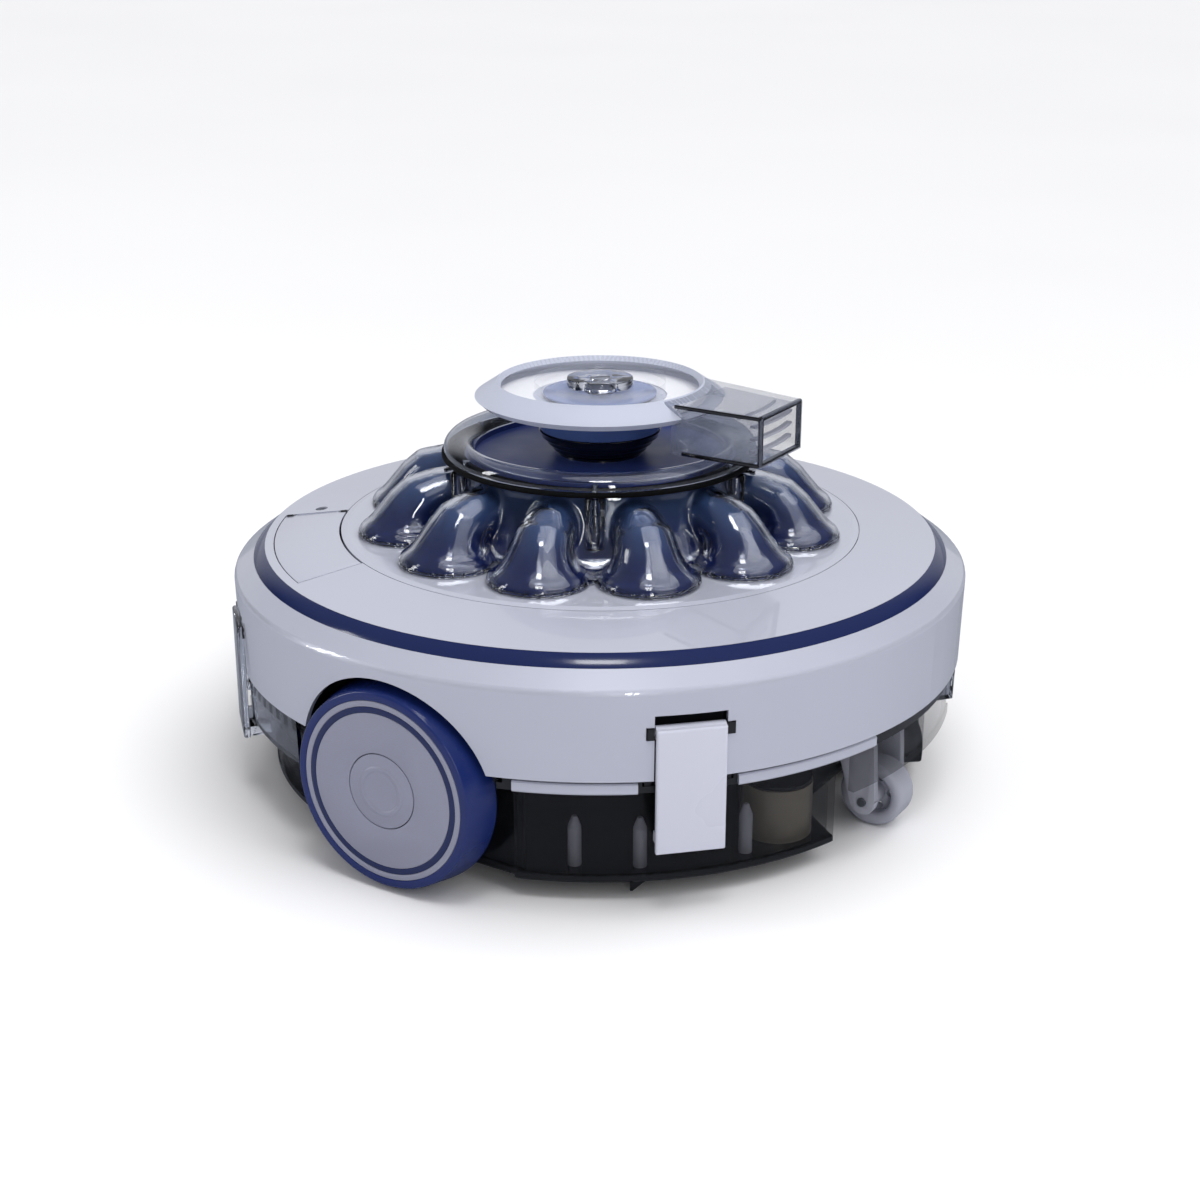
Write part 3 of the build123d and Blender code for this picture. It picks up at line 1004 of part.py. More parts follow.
def hinge_point(r):
    """Point of the hatch hinge line at a radius."""
    return out_dir(hinge_az) * r + side_dir(hinge_az) * HINGE_SIDE + Vector(0, 0, cover_z(r) - HINGE_DROP)


def hinge_rod(r_from, r_to, radius):
    """Straight rod along the hatch hinge line."""
    start = hinge_point(r_from)
    length = (hinge_point(r_to) - start).length
    with BuildPart() as rod:
        with BuildSketch(Plane(origin=start, z_dir=hinge_dir)):
            Circle(radius)
        extrude(amount=length)
    return rod.part


def hatch_sector(points, az_from, az_to):
    """Ring section swept over a range of azimuths."""
    return revolve(section(points, az_from), Axis.Z, revolution_arc=az_to - az_from, mode=Mode.PRIVATE)


well_block = [
    (DECK_R + 0.6, WELL_FLOOR_Z - WELL_THICK), (WELL_OUT_R, WELL_FLOOR_Z - WELL_THICK),
    (WELL_OUT_R, cover_under_z(WELL_OUT_R)), (DECK_R + 0.6, cover_under_z(DECK_R + 0.6)),
]
WELL_IN_R, WELL_FAR_R = DECK_R + 4.0, HATCH_OUT_R - 3.0
well_room = [(WELL_IN_R, WELL_FLOOR_Z), (WELL_FAR_R, WELL_FLOOR_Z), (WELL_FAR_R, SHELL_R), (WELL_IN_R, SHELL_R)]
with BuildPart() as hatch_well:
    add(hatch_sector(well_block, HATCH_FROM - 1.5, HATCH_TO + 1.5))
    add(hatch_sector(well_room, HATCH_FROM + 3.0, HATCH_TO - 3.0), mode=Mode.SUBTRACT)
    with BuildSketch(standing(SOCKET_AZ, WELL_MID_R, WELL_FLOOR_Z)) as socket_seat:
        Circle(SOCKET_BORE_R + SOCKET_FOOT)
    extrude(socket_seat.sketch, amount=-WELL_THICK, mode=Mode.SUBTRACT)
    with BuildSketch(standing(BUTTON_AZ, WELL_MID_R, WELL_FLOOR_Z)) as bezel:
        Circle(BUTTON_R + 2.5)
        Circle(BUTTON_R + 0.3, mode=Mode.SUBTRACT)
    extrude(bezel.sketch, amount=3.6)
    add(hinge_rod(DECK_R, WELL_OUT_R + 1.0, HATCH_KNUCKLE_R + PART_GAP), mode=Mode.SUBTRACT)
    for r_from, r_to in ((DECK_R + 1.2, DECK_R + 3.6), (WELL_OUT_R - 4.4, WELL_OUT_R - 2.0)):
        add(hinge_rod(r_from, r_to, HATCH_KNUCKLE_R + PART_GAP + 0.1))
    add(hinge_rod(DECK_R, WELL_OUT_R + 1.0, HATCH_PIN_R), mode=Mode.SUBTRACT)
save(hatch_well, "hatch_well")

lid_points = [
    (DECK_R + 0.9, cover_z(DECK_R + 0.9)), (HATCH_OUT_R - 0.5, cover_z(HATCH_OUT_R - 0.5)),
    (HATCH_OUT_R - 0.5, cover_z(HATCH_OUT_R - 0.5) - HATCH_LID), (DECK_R + 0.9, cover_z(DECK_R + 0.9) - HATCH_LID),
]
LID_EDGE_DEG = 0.86
with BuildPart() as hatch_lid:
    add(hatch_sector(lid_points, HATCH_FROM + LID_EDGE_DEG, HATCH_TO - HATCH_GAP_DEG))
    add(hinge_rod(DECK_R, WELL_OUT_R, HATCH_KNUCKLE_R + 2 * PART_GAP), mode=Mode.SUBTRACT)
    add(hinge_rod(DECK_R + 5.0, WELL_OUT_R - 6.0, HATCH_KNUCKLE_R))
    tongue = hatch_sector(lid_points, HATCH_FROM + 0.7, HATCH_FROM + 3.0)
    with BuildSketch(Plane.XY.offset(0)) as tongue_reach:
        Circle(WELL_OUT_R - 6.6)
        Circle(DECK_R + 6.0, mode=Mode.SUBTRACT)
    reach = extrude(tongue_reach.sketch, amount=2 * SHELL_R, mode=Mode.PRIVATE)
    add(tongue.intersect(reach))
    add(hinge_rod(DECK_R, WELL_OUT_R + 1.0, HATCH_PIN_R + RUN_GAP), mode=Mode.SUBTRACT)
save(hatch_lid, "hatch_lid")

# ---- hinge pins of the hatch, the latches and the inlet flaps ----------------------------------------
with BuildPart() as hinge_pins:
    add(hinge_rod(DECK_R + 1.2, WELL_OUT_R - 2.0, HATCH_PIN_R))
    for az in LATCH_PLACES.values():
        with BuildSketch(pin_plane(az, LATCH_PIVOT_R, LATCH_PIVOT_Z)) as latch_pin:
            Circle(LATCH_PIN_R)
        extrude(latch_pin.sketch, amount=EAR_HALF, both=True)
    for az in (INLET_AZ, INLET_AZ + 180.0):
        with BuildSketch(pin_plane(az, FLAP_HINGE_R, FLAP_HINGE_Z)) as flap_pin:
            Circle(FLAP_PIN_R)
        extrude(flap_pin.sketch, amount=KNUCKLE_HALF + 2.8, both=True)
save(hinge_pins, "hinge_pins")

with BuildPart() as charging_socket:
    with BuildSketch(standing(SOCKET_AZ, WELL_MID_R, WELL_FLOOR_Z)) as socket_ring:
        Circle(SOCKET_BORE_R + SOCKET_WALL)
        Circle(SOCKET_BORE_R, mode=Mode.SUBTRACT)
    extrude(socket_ring.sketch, amount=SOCKET_HIGH)
    with BuildSketch(standing(SOCKET_AZ, WELL_MID_R, WELL_FLOOR_Z)) as socket_foot:
        Circle(SOCKET_BORE_R + SOCKET_FOOT)
    extrude(socket_foot.sketch, amount=-WELL_THICK - 3.0)
save(charging_socket, "charging_socket")

with BuildPart() as power_button:
    with BuildSketch(standing(BUTTON_AZ, WELL_MID_R, WELL_FLOOR_Z + 2.0)) as button:
        Circle(BUTTON_R)
    extrude(button.sketch, amount=3.4)
    fillet(power_button.edges().group_by(Axis.Z)[-1], 0.8)
save(power_button, "power_button")

with BuildPart() as status_led:
    lamp_z = cover_z(LED_PLACE_R)
    with BuildSketch(standing(LED_AZ, LED_PLACE_R, lamp_z - SHELL_WALL + 0.2)) as lamp:
        Circle(LED_R)
    extrude(lamp.sketch, amount=SHELL_WALL - 0.9)
save(status_led, "status_led")

# ---- batteries and control board ------------------------------------------------------------------------------
BATTERY_LONG, BATTERY_WIDE, BATTERY_HIGH, BATTERY_Y = 96.0, 36.0, 38.0, 74.0
with BuildPart() as battery_packs:
    for side in SIDES.values():
        with BuildSketch(Plane.XY.offset(BASE_TOP_Z)) as pack:
            with Locations((0, side * BATTERY_Y)):
                RectangleRounded(BATTERY_LONG, BATTERY_WIDE, 3.0)
        extrude(pack.sketch, amount=BATTERY_HIGH)
save(battery_packs, "battery_packs")

BOARD_X, BOARD_LONG, BOARD_WIDE, STANDOFF = -80.0, 42.0, 60.0, 8.0
with BuildPart() as control_board:
    with BuildSketch(Plane.XY.offset(BASE_TOP_Z)) as feet:
        with Locations((BOARD_X, 0)):
            with GridLocations(BOARD_LONG - 8.0, BOARD_WIDE - 8.0, 2, 2):
                Circle(2.5)
    extrude(feet.sketch, amount=STANDOFF)
    with BuildSketch(Plane.XY.offset(BASE_TOP_Z + STANDOFF)) as board:
        with Locations((BOARD_X, 0)):
            Rectangle(BOARD_LONG, BOARD_WIDE)
    extrude(board.sketch, amount=1.6)
    with BuildSketch(Plane.XY.offset(BASE_TOP_Z + STANDOFF + 1.6)) as chips:
        with Locations((BOARD_X, 0)):
            with GridLocations(18.0, 20.0, 2, 2):
                Rectangle(10.0, 12.0)
    extrude(chips.sketch, amount=4.0)
save(control_board, "control_board")
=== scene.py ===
import json
import math

import bpy
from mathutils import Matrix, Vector


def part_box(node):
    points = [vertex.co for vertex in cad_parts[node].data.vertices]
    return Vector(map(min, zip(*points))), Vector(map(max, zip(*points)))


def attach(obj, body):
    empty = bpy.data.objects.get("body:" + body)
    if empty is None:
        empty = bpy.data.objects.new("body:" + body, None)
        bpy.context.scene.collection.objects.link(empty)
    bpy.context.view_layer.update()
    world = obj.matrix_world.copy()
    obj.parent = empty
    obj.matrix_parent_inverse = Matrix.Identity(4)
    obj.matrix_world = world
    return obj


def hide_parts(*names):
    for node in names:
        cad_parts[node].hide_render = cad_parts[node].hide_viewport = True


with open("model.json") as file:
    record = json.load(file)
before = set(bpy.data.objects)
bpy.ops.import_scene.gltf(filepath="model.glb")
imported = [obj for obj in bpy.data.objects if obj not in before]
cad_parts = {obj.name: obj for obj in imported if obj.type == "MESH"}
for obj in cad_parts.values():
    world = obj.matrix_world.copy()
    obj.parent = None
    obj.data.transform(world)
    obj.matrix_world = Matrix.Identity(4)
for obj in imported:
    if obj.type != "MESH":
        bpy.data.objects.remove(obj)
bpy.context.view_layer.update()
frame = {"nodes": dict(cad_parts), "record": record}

MM = 0.001
LOBES = 12
DECK_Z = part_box("pump_housing")[0].z / MM       # flat seat of the dome
NECK_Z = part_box("clear_dome")[1].z / MM         # top of the dome's neck

node_slot = {part["node"]: part["material_slot"] for part in frame["record"]["subparts"]}
node_body = {node: body for body, nodes in frame["record"]["behaviour"]["bodies"].items() for node in nodes}


# ---- materials -------------------------------------------------------------------------------------
def hex_colour(code):
    """The linear colour of an sRGB hex code."""
    parts = [int(code[i:i + 2], 16) / 255 for i in (1, 3, 5)]
    return tuple(p / 12.92 if p <= 0.04045 else ((p + 0.055) / 1.055) ** 2.4 for p in parts) + (1.0,)


def shade(code, factor):
    """A hex colour made lighter or darker."""
    return tuple(min(c * factor, 1.0) for c in hex_colour(code)[:3]) + (1.0,)


def add(tree, kind, props=None, inputs=None):
    """Adds one node: props are its own settings, inputs are values or sockets for its inputs."""
    node = tree.nodes.new(kind)
    for key, value in (props or {}).items():
        setattr(node, key, value)
    for key, value in (inputs or {}).items():
        if isinstance(value, bpy.types.NodeSocket):
            tree.links.new(value, node.inputs[key])
        else:
            node.inputs[key].default_value = value
    return node


def moulding(name, code, rough, tone=0.03, cloud_mm=45.0, grain_mm=0.6, grain=0.02, fixed=None, upper=None,
             veil=None):
    """A moulded plastic. Its tone drifts over a few centimetres as the melt cooled, its gloss is uneven, and
    the tool's spark grain shows as a fine bump. upper is a second colour that it turns to from one height to
    another, and veil how much of what is behind that second colour hides."""
    material = bpy.data.materials.new(name)
    material.use_nodes = True
    tree = material.node_tree
    tree.nodes.clear()
    place = add(tree, "ShaderNodeTexCoord").outputs["Object"]
    cloud = add(tree, "ShaderNodeTexNoise", None,
                {"Vector": place, "Scale": 1 / (cloud_mm * MM), "Detail": 3.0}).outputs["Fac"]
    specks = add(tree, "ShaderNodeTexNoise", None,
                 {"Vector": place, "Scale": 1 / (grain_mm * MM), "Detail": 2.0}).outputs["Fac"]
    colour = add(tree, "ShaderNodeMix", {"data_type": "RGBA"},
                 {0: cloud, 6: shade(code, 1 - tone), 7: shade(code, 1 + tone)}).outputs[2]
    if upper:
        code_high, z_low, z_high = upper
        height = add(tree, "ShaderNodeSeparateXYZ", None, {"Vector": place}).outputs["Z"]
        rise = add(tree, "ShaderNodeMapRange", {"interpolation_type": "SMOOTHSTEP"},
                   {"Value": height, "From Min": z_low * MM, "From Max": z_high * MM}).outputs["Result"]
        colour = add(tree, "ShaderNodeMix", {"data_type": "RGBA"},
                     {0: rise, 6: colour, 7: hex_colour(code_high)}).outputs[2]
    gloss = add(tree, "ShaderNodeMapRange", None,
                {"Value": cloud, "From Min": 0.3, "From Max": 0.7,
                 "To Min": rough * 0.85, "To Max": rough * 1.15}).outputs["Result"]
    bump = add(tree, "ShaderNodeBump", None,
               {"Height": specks, "Strength": grain, "Distance": 0.1 * MM}).outputs["Normal"]
    shader = add(tree, "ShaderNodeBsdfPrincipled", None,
                 {"Base Color": colour, "Roughness": gloss, "Normal": bump})
    for key, value in (fixed or {}).items():
        shader.inputs[key].default_value = value
    if veil is not None:
        hidden = add(tree, "ShaderNodeMapRange", None, {"Value": rise, "To Min": 1.0, "To Max": veil})
        tree.links.new(hidden.outputs["Result"], shader.inputs["Alpha"])
    add(tree, "ShaderNodeOutputMaterial", None, {"Surface": shader.outputs["BSDF"]})
    return material


def mirror_as(material, code):
    """Gives a material another colour wherever a glossy part mirrors it."""
    tree = material.node_tree
    shader = next(node for node in tree.nodes if node.type == "BSDF_PRINCIPLED")
    tint = shader.inputs["Base Color"].links[0].from_socket
    glossy_ray = add(tree, "ShaderNodeLightPath").outputs["Is Glossy Ray"]
    mix = add(tree, "ShaderNodeMix", {"data_type": "RGBA"}, {0: glossy_ray, 6: tint, 7: hex_colour(code)})
    tree.links.new(mix.outputs[2], shader.inputs["Base Color"])


# Pearl lacquer over moulded ABS: cool silver with a clear coat that mirrors what stands on the deck.
pearl_silver = moulding("pearl_lacquered_abs", "#C1C4D3", 0.34, tone=0.02, grain_mm=0.35, grain=0.015,
                        fixed={"Metallic": 0.2, "IOR": 1.5, "Coat Weight": 1.0, "Coat Roughness": 0.02,
                               "Coat IOR": 1.7})
# Satin moulded ABS of the wheel discs: a shade darker and without the clear coat.
satin_silver = moulding("satin_moulded_abs", "#9698AB", 0.38, tone=0.03, grain_mm=0.5, grain=0.04,
                        fixed={"Metallic": 0.2, "IOR": 1.52})
# Gloss navy ABS, polished in the tool.
navy_gloss = moulding("gloss_navy_abs", "#16224F", 0.16, tone=0.05, grain=0.01,
                      fixed={"IOR": 1.53, "Coat Weight": 0.3, "Coat Roughness": 0.04})
# Cast polyurethane tyres: navy, with a soft sheen on the shoulder.
navy_tyre = moulding("cast_polyurethane", "#182863", 0.24, tone=0.06, grain_mm=0.9, grain=0.05,
                     fixed={"IOR": 1.5, "Coat Weight": 0.25, "Coat Roughness": 0.1})
# Water-clear moulded polycarbonate with a trace of blue.
clear_plastic = moulding("clear_polycarbonate", "#F1F4FA", 0.012, tone=0.01, cloud_mm=60.0, grain=0.0,
                         fixed={"IOR": 1.585, "Transmission Weight": 1.0})
# Navy-tinted polycarbonate of the pump housing. Its colour is painted paler towards the neck, a painted
# lighter band standing in for light falling on the upper lobes.
navy_clear = moulding("tinted_navy_polycarbonate", "#1E2D6C", 0.14, tone=0.1, cloud_mm=16.0, grain=0.01,
                      fixed={"IOR": 1.58, "Coat Weight": 0.25, "Coat Roughness": 0.03},
                      upper=("#56709F", 128.0, 152.0))
# The same resin where it lies flat under the neck: dull enough to stay blue under the lamps.
navy_floor = moulding("tinted_navy_floor", "#3D4F92", 0.36, tone=0.12, cloud_mm=14.0, grain=0.02,
                      fixed={"IOR": 1.45})
# Polished polycarbonate of the nozzle's hub and window dish: steel blue.
steel_blue = moulding("steel_blue_polycarbonate", "#5871AC", 0.2, tone=0.08, cloud_mm=12.0, grain=0.0,
                      fixed={"IOR": 1.58, "Coat Weight": 0.5, "Coat Roughness": 0.03})
# Gloss black ABS of the outlet bowl and of the duct's thick edges.
gloss_black = moulding("gloss_black_abs", "#07080C", 0.06, tone=0.1, grain=0.0,
                       fixed={"IOR": 1.55, "Coat Weight": 0.6})
# Thin clear cover with light under it: nearly all of it lets through, the rest is a pale painted sheen.
clear_cover = moulding("thin_clear_cover", "#E4E8F4", 0.04, tone=0.02, grain=0.0,
                       fixed={"IOR": 1.585, "Alpha": 0.09})
# Clear duct wall: a cool grey film of painted reflections, patchy in tone, over whatever stands behind it.
clear_duct = moulding("clear_duct_wall", "#8E96AC", 0.03, tone=0.3, cloud_mm=9.0, grain=0.0,
                      fixed={"IOR": 1.585, "Alpha": 0.3, "Coat Weight": 1.0, "Coat Roughness": 0.02})
# Frosted polypropylene of the nozzle's side wall.
frosted_white = moulding("frosted_polypropylene", "#CDD2E4", 0.3, tone=0.02, grain=0.02,
                         fixed={"IOR": 1.49, "Transmission Weight": 0.2})
# White satin ABS of two latches.
latch_white = moulding("white_satin_abs", "#C9CBDA", 0.3, tone=0.02, grain=0.02, fixed={"IOR": 1.52})
# Smoked polycarbonate of the tray: dark grey glass, black where its thick floor is seen edge on.
smoked_plastic = moulding("smoked_polycarbonate", "#050506", 0.05, tone=0.05, grain=0.0,
                          fixed={"IOR": 1.585}, upper=("#1C1D20", 12.2, 13.4), veil=0.26)
# Black ABS of the chassis.
dark_plastic = moulding("black_moulded_abs", "#1A1B1F", 0.3, tone=0.1, grain_mm=0.8, grain=0.06,
                        fixed={"IOR": 1.52})
# Grey acetal of rollers, brackets and ribs.
grey_plastic = moulding("grey_acetal", "#A6A8B5", 0.36, tone=0.04, grain=0.03, fixed={"IOR": 1.48})
# Bronze-grey metallic plastic of the inlet tubes.
bronze_tube = moulding("bronze_plated_tube", "#A0988A", 0.3, tone=0.06, grain=0.01, fixed={"Metallic": 0.35})
# Turned stainless steel of pins, axles and screws.
steel = moulding("turned_stainless", "#B9BBBF", 0.25, tone=0.04, grain_mm=0.3, grain=0.04,
                 fixed={"Metallic": 1.0})
# Woven polyester screen.
screen_mesh = moulding("woven_polyester", "#9EA0A8", 0.7, tone=0.1, grain_mm=1.2, grain=0.5)
# Moulded nitrile rubber of the seals.
rubber = moulding("moulded_nitrile", "#050506", 0.8, tone=0.1, grain=0.05, fixed={"IOR": 1.3})
# PVC shrink wrap of the cells.
cell_wrap = moulding("blue_shrink_wrap", "#2A4F86", 0.22, tone=0.08, grain_mm=2.0, grain=0.1)
# Lacquered glass-epoxy circuit board.
board = moulding("green_glass_epoxy", "#1D6B3A", 0.35, tone=0.12, grain_mm=1.0, grain=0.1)
# Smoked lens of the status lamp.
lamp = moulding("smoked_lens", "#5C606C", 0.08, tone=0.05, grain=0.0, fixed={"Transmission Weight": 0.5})
# White ABS floor under the nozzle's clear top.
white_floor = moulding("white_moulded_abs", "#FAFAFD", 0.4, tone=0.01, grain=0.01, fixed={"IOR": 1.5})
# Matt studio paper. The parts mirror it as a mid grey, which keeps their edges apart from it.
paper = moulding("studio_paper", "#F7F7F9", 0.9, tone=0.004, cloud_mm=600.0, grain=0.0)
mirror_as(paper, "#8C909C")

SLOT_FINISH = {
    "shell_silver": pearl_silver, "hub_silver": satin_silver, "navy_gloss": navy_gloss, "navy_tyre": navy_tyre,
    "clear_plastic": clear_plastic, "navy_clear": navy_clear, "frosted_white": frosted_white,
    "latch_white": latch_white, "smoked_plastic": smoked_plastic, "dark_plastic": dark_plastic,
    "grey_plastic": grey_plastic, "bronze_tube": bronze_tube, "steel": steel, "screen_mesh": screen_mesh,
    "rubber": rubber, "cell_wrap": cell_wrap, "board": board, "lamp": lamp,
}
# Parts whose finish differs from the rest of their slot.
OWN_FINISH = {
    "nozzle_top_plate": clear_cover, "nozzle_window": clear_cover, "nozzle_duct": clear_duct,
    "nozzle_hub": steel_blue, "pump_lid": navy_floor, "outlet_bowl": gloss_black,
}


def finish_of(node):
    """The material of a part, and of the piece that takes its place."""
    return OWN_FINISH.get(node, SLOT_FINISH[node_slot[node]])


def coat(piece, material):
    """Gives a piece one material."""
    piece.data.materials.clear()
    piece.data.materials.append(material)


for node_name, part in frame["nodes"].items():
    coat(part, finish_of(node_name))


# ---- making pieces ---------------------------------------------------------------------------------
def clear_selection():
    """Leaves edit mode and selects nothing."""
    if bpy.context.object and bpy.context.object.mode != "OBJECT":
        bpy.ops.object.mode_set(mode="OBJECT")
    bpy.ops.object.select_all(action="DESELECT")


def pick(*pieces):
    """Selects some pieces and nothing else, and makes the first of them active."""
    clear_selection()
    for piece in pieces:
        piece.select_set(True)
    bpy.context.view_layer.objects.active = pieces[0]


def modify(piece, kind, **settings):
    """Adds a modifier, sets it and applies it."""
    pick(piece)
    bpy.ops.object.modifier_add(type=kind)
    modifier = piece.modifiers[-1]
    for key, value in settings.items():
        setattr(modifier, key, value)
    bpy.ops.object.modifier_apply(modifier=modifier.name)


def first_ring(name, steps, radius, x, z):
    """Starts a piece as one flat ring and leaves it in edit mode, all of it selected."""
    clear_selection()
    bpy.ops.mesh.primitive_circle_add(vertices=steps, radius=radius * MM, location=(x * MM, 0, z * MM))
    piece = bpy.context.object
    piece.name = name
    bpy.ops.object.transform_apply(location=True)
    bpy.ops.object.mode_set(mode="EDIT")
    bpy.ops.mesh.select_mode(type="VERT")
    bpy.ops.mesh.select_all(action="SELECT")
    return piece


def raised(outline, height):
    """An outline of (radius, height) points moved up by a height."""
    return [(r, z + height) for r, z in outline]


def turned(name, outline, steps=64, closed=True):
    """Turns an outline of (radius, height) points in millimetres about the Z axis, extruding one ring at a
    time. A closed outline is joined end to end, an open one gets flat ends."""
    piece = first_ring(name, steps, outline[0][0], 0.0, outline[0][1])
    for (r_old, z_old), (r_new, z_new) in zip(outline, outline[1:]):
        bpy.ops.mesh.extrude_region_move(TRANSFORM_OT_translate={"value": (0, 0, (z_new - z_old) * MM)})
        bpy.ops.transform.resize(value=(r_new / r_old, r_new / r_old, 1), center_override=(0, 0, z_new * MM))
    bpy.ops.mesh.select_all(action="DESELECT")
    bpy.ops.mesh.select_mode(type="EDGE")
    bpy.ops.mesh.select_non_manifold()
    if closed:
        bpy.ops.mesh.bridge_edge_loops()
    else:
        bpy.ops.mesh.select_all(action="SELECT")
        bpy.ops.mesh.fill_holes(sides=0)
    bpy.ops.mesh.select_mode(type="VERT")
    bpy.ops.mesh.select_all(action="SELECT")
    bpy.ops.mesh.remove_doubles(threshold=0.002 * MM)
    bpy.ops.mesh.normals_make_consistent(inside=False)
    bpy.ops.object.mode_set(mode="OBJECT")
    return piece


def bent(name, rings, steps=48):
    """Draws a circle along rings of (centre X, height, lean in degrees towards the axis, radius), in
    millimetres, and closes its ends."""
    x_old, z_old, lean_old, r_old = rings[0]
    piece = first_ring(name, steps, r_old, x_old, z_old)
    for x_new, z_new, lean_new, r_new in rings[1:]:
        middle = (x_new * MM, 0, z_new * MM)
        bpy.ops.mesh.extrude_region_move(
            TRANSFORM_OT_translate={"value": ((x_new - x_old) * MM, 0, (z_new - z_old) * MM)})
        bpy.ops.transform.resize(value=(r_new / r_old,) * 3, center_override=middle)
        bpy.ops.transform.rotate(value=math.radians(lean_new - lean_old), orient_axis="Y",
                                 center_override=middle)
        x_old, z_old, lean_old, r_old = x_new, z_new, lean_new, r_new
    bpy.ops.mesh.select_all(action="SELECT")
    bpy.ops.mesh.fill_holes(sides=0)
    bpy.ops.mesh.select_all(action="SELECT")
    bpy.ops.mesh.normals_make_consistent(inside=False)
    bpy.ops.object.mode_set(mode="OBJECT")
    return piece


def block(name, low, high, edge=0.0):
    """A box between two corners in millimetres, with its edges rounded over."""
    clear_selection()
    bpy.ops.mesh.primitive_cube_add(size=1.0, location=[(a + b) / 2 * MM for a, b in zip(low, high)])
    piece = bpy.context.object
    piece.name = name
    bpy.ops.transform.resize(value=[(b - a) * MM for a, b in zip(low, high)])
    bpy.ops.object.transform_apply(location=True, rotation=True, scale=True)
    if edge:
        modify(piece, "BEVEL", width=edge * MM, segments=3)
    return piece


def ring_of(piece, count, start):
    """Copies a piece round the Z axis, each copy with its own mesh, and joins the copies into one."""
    copies = []
    for step in range(count):
        pick(piece)
        bpy.ops.object.duplicate()
        twin = bpy.context.object
        bpy.ops.transform.rotate(value=-math.radians(start + step * 360.0 / count), orient_axis="Z",
                                 center_override=(0, 0, 0))
        bpy.ops.object.transform_apply(location=True, rotation=True)
        copies.append(twin)
    bpy.data.objects.remove(piece)
    pick(*copies)
    bpy.ops.object.join()
    return copies[0]


def cut_by(piece, tool):
    """Cuts a piece with another, which is used up."""
    modify(piece, "BOOLEAN", operation="DIFFERENCE", object=tool, solver="EXACT")
    bpy.data.objects.remove(tool)


def smooth(piece, angle=40.0):
    """Smooth shading with sharp edges kept over an angle."""
    pick(piece)
    bpy.ops.object.shade_smooth_by_angle(angle=math.radians(angle))


def smooth_all(piece):
    """Smooth shading with no sharp edge."""
    pick(piece)
    bpy.ops.object.shade_smooth()


def fit(piece, node):
    """Puts a finished piece in place of a part, on its body and in its finish."""
    coat(piece, finish_of(node))
    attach(piece, node_body[node])
    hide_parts(node)


def mount(piece, body, material):
    """Adds a finished piece to a body."""
    coat(piece, material)
    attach(piece, body)


def softened(node, radius):
    """A copy of a part with its moulded edges rounded over by a radius in millimetres."""
    piece = bpy.data.objects.new(node + "_moulding", frame["nodes"][node].data.copy())
    bpy.context.scene.collection.objects.link(piece)
    pick(piece)
    bpy.ops.object.mode_set(mode="EDIT")
    bpy.ops.mesh.select_all(action="SELECT")
    bpy.ops.mesh.remove_doubles(threshold=0.005 * MM)
    bpy.ops.mesh.dissolve_limited(angle_limit=math.radians(0.4))
    bpy.ops.object.mode_set(mode="OBJECT")
    bpy.ops.mesh.customdata_custom_splitnormals_clear()
    modify(piece, "BEVEL", width=radius * MM, segments=2, limit_method="ANGLE",
           angle_limit=math.radians(30.0), use_clamp_overlap=False)
    smooth(piece, 35.0)
    fit(piece, node)


# ---- clear dome and the housing's lobes under it: twelve lobes with flared toes, remeshed into a skin ---
DOME_VOXEL, DOME_WALL = 1.25, 2.2
LINER_VOXEL, LINER_WALL = 1.5, 1.2
LINER_GAP = 3.4         # from the dome's outside to the outside of the housing's lobes
END_DEPTH = 0.8         # a flat face this near the foot or the neck closes an end
# Rings of one lobe from its toe on the deck to the neck: centre, height, lean towards the axis, radius.
lobe_rings = [(93.0, 0.0, 0, 23.5), (93.0, 1.8, 0, 23.9), (92.7, 3.6, 3, 22.6), (91.9, 5.8, 8, 19.0),
              (90.6, 9.2, 16, 16.4), (88.0, 13.4, 30, 14.6), (83.8, 17.4, 46, 13.5), (76.6, 19.0, 68, 12.3),
              (66.0, 20.4, 84, 11.6), (54.0, 20.4, 90, 11.0)]
# The round body between the lobes: radius and height over the deck.
core_outline = [(86.0, 0.0), (80.0, 6.0), (75.6, 13.0), (72.6, 21.0), (70.4, 28.0), (69.6, 34.0)]


def lobed_skin(name, inset, voxel, rounds, wall):
    """A lobed wall, set in by a gap, with every corner softened and with its foot and neck open."""
    lobe = bent(name + "_lobe", [(x, z + DECK_Z, lean, r - inset) for x, z, lean, r in lobe_rings])
    body = ring_of(lobe, LOBES, 180.0 / LOBES)
    core = turned(name + "_core", [(r - inset, z + DECK_Z) for r, z in core_outline], steps=96, closed=False)
    pick(body, core)
    bpy.ops.object.join()
    body.name = name
    modify(body, "REMESH", mode="VOXEL", voxel_size=voxel * MM)
    modify(body, "SMOOTH", factor=0.5, iterations=rounds)
    pick(body)
    for polygon in body.data.polygons:
        height = polygon.center.z / MM
        at_an_end = height < DECK_Z + END_DEPTH or height > NECK_Z - END_DEPTH
        polygon.select = abs(polygon.normal.z) > 0.8 and at_an_end
    bpy.ops.object.mode_set(mode="EDIT")
    bpy.ops.mesh.select_mode(type="FACE")
    bpy.ops.mesh.delete(type="FACE")
    bpy.ops.object.mode_set(mode="OBJECT")
    modify(body, "SOLIDIFY", thickness=wall * MM, offset=-1.0)
    smooth_all(body)
    return body


fit(lobed_skin("lobed_dome", 0.0, DOME_VOXEL, 5, DOME_WALL), "clear_dome")
mount(lobed_skin("housing_lobes", LINER_GAP, LINER_VOXEL, 4, LINER_WALL), "hull", navy_clear)

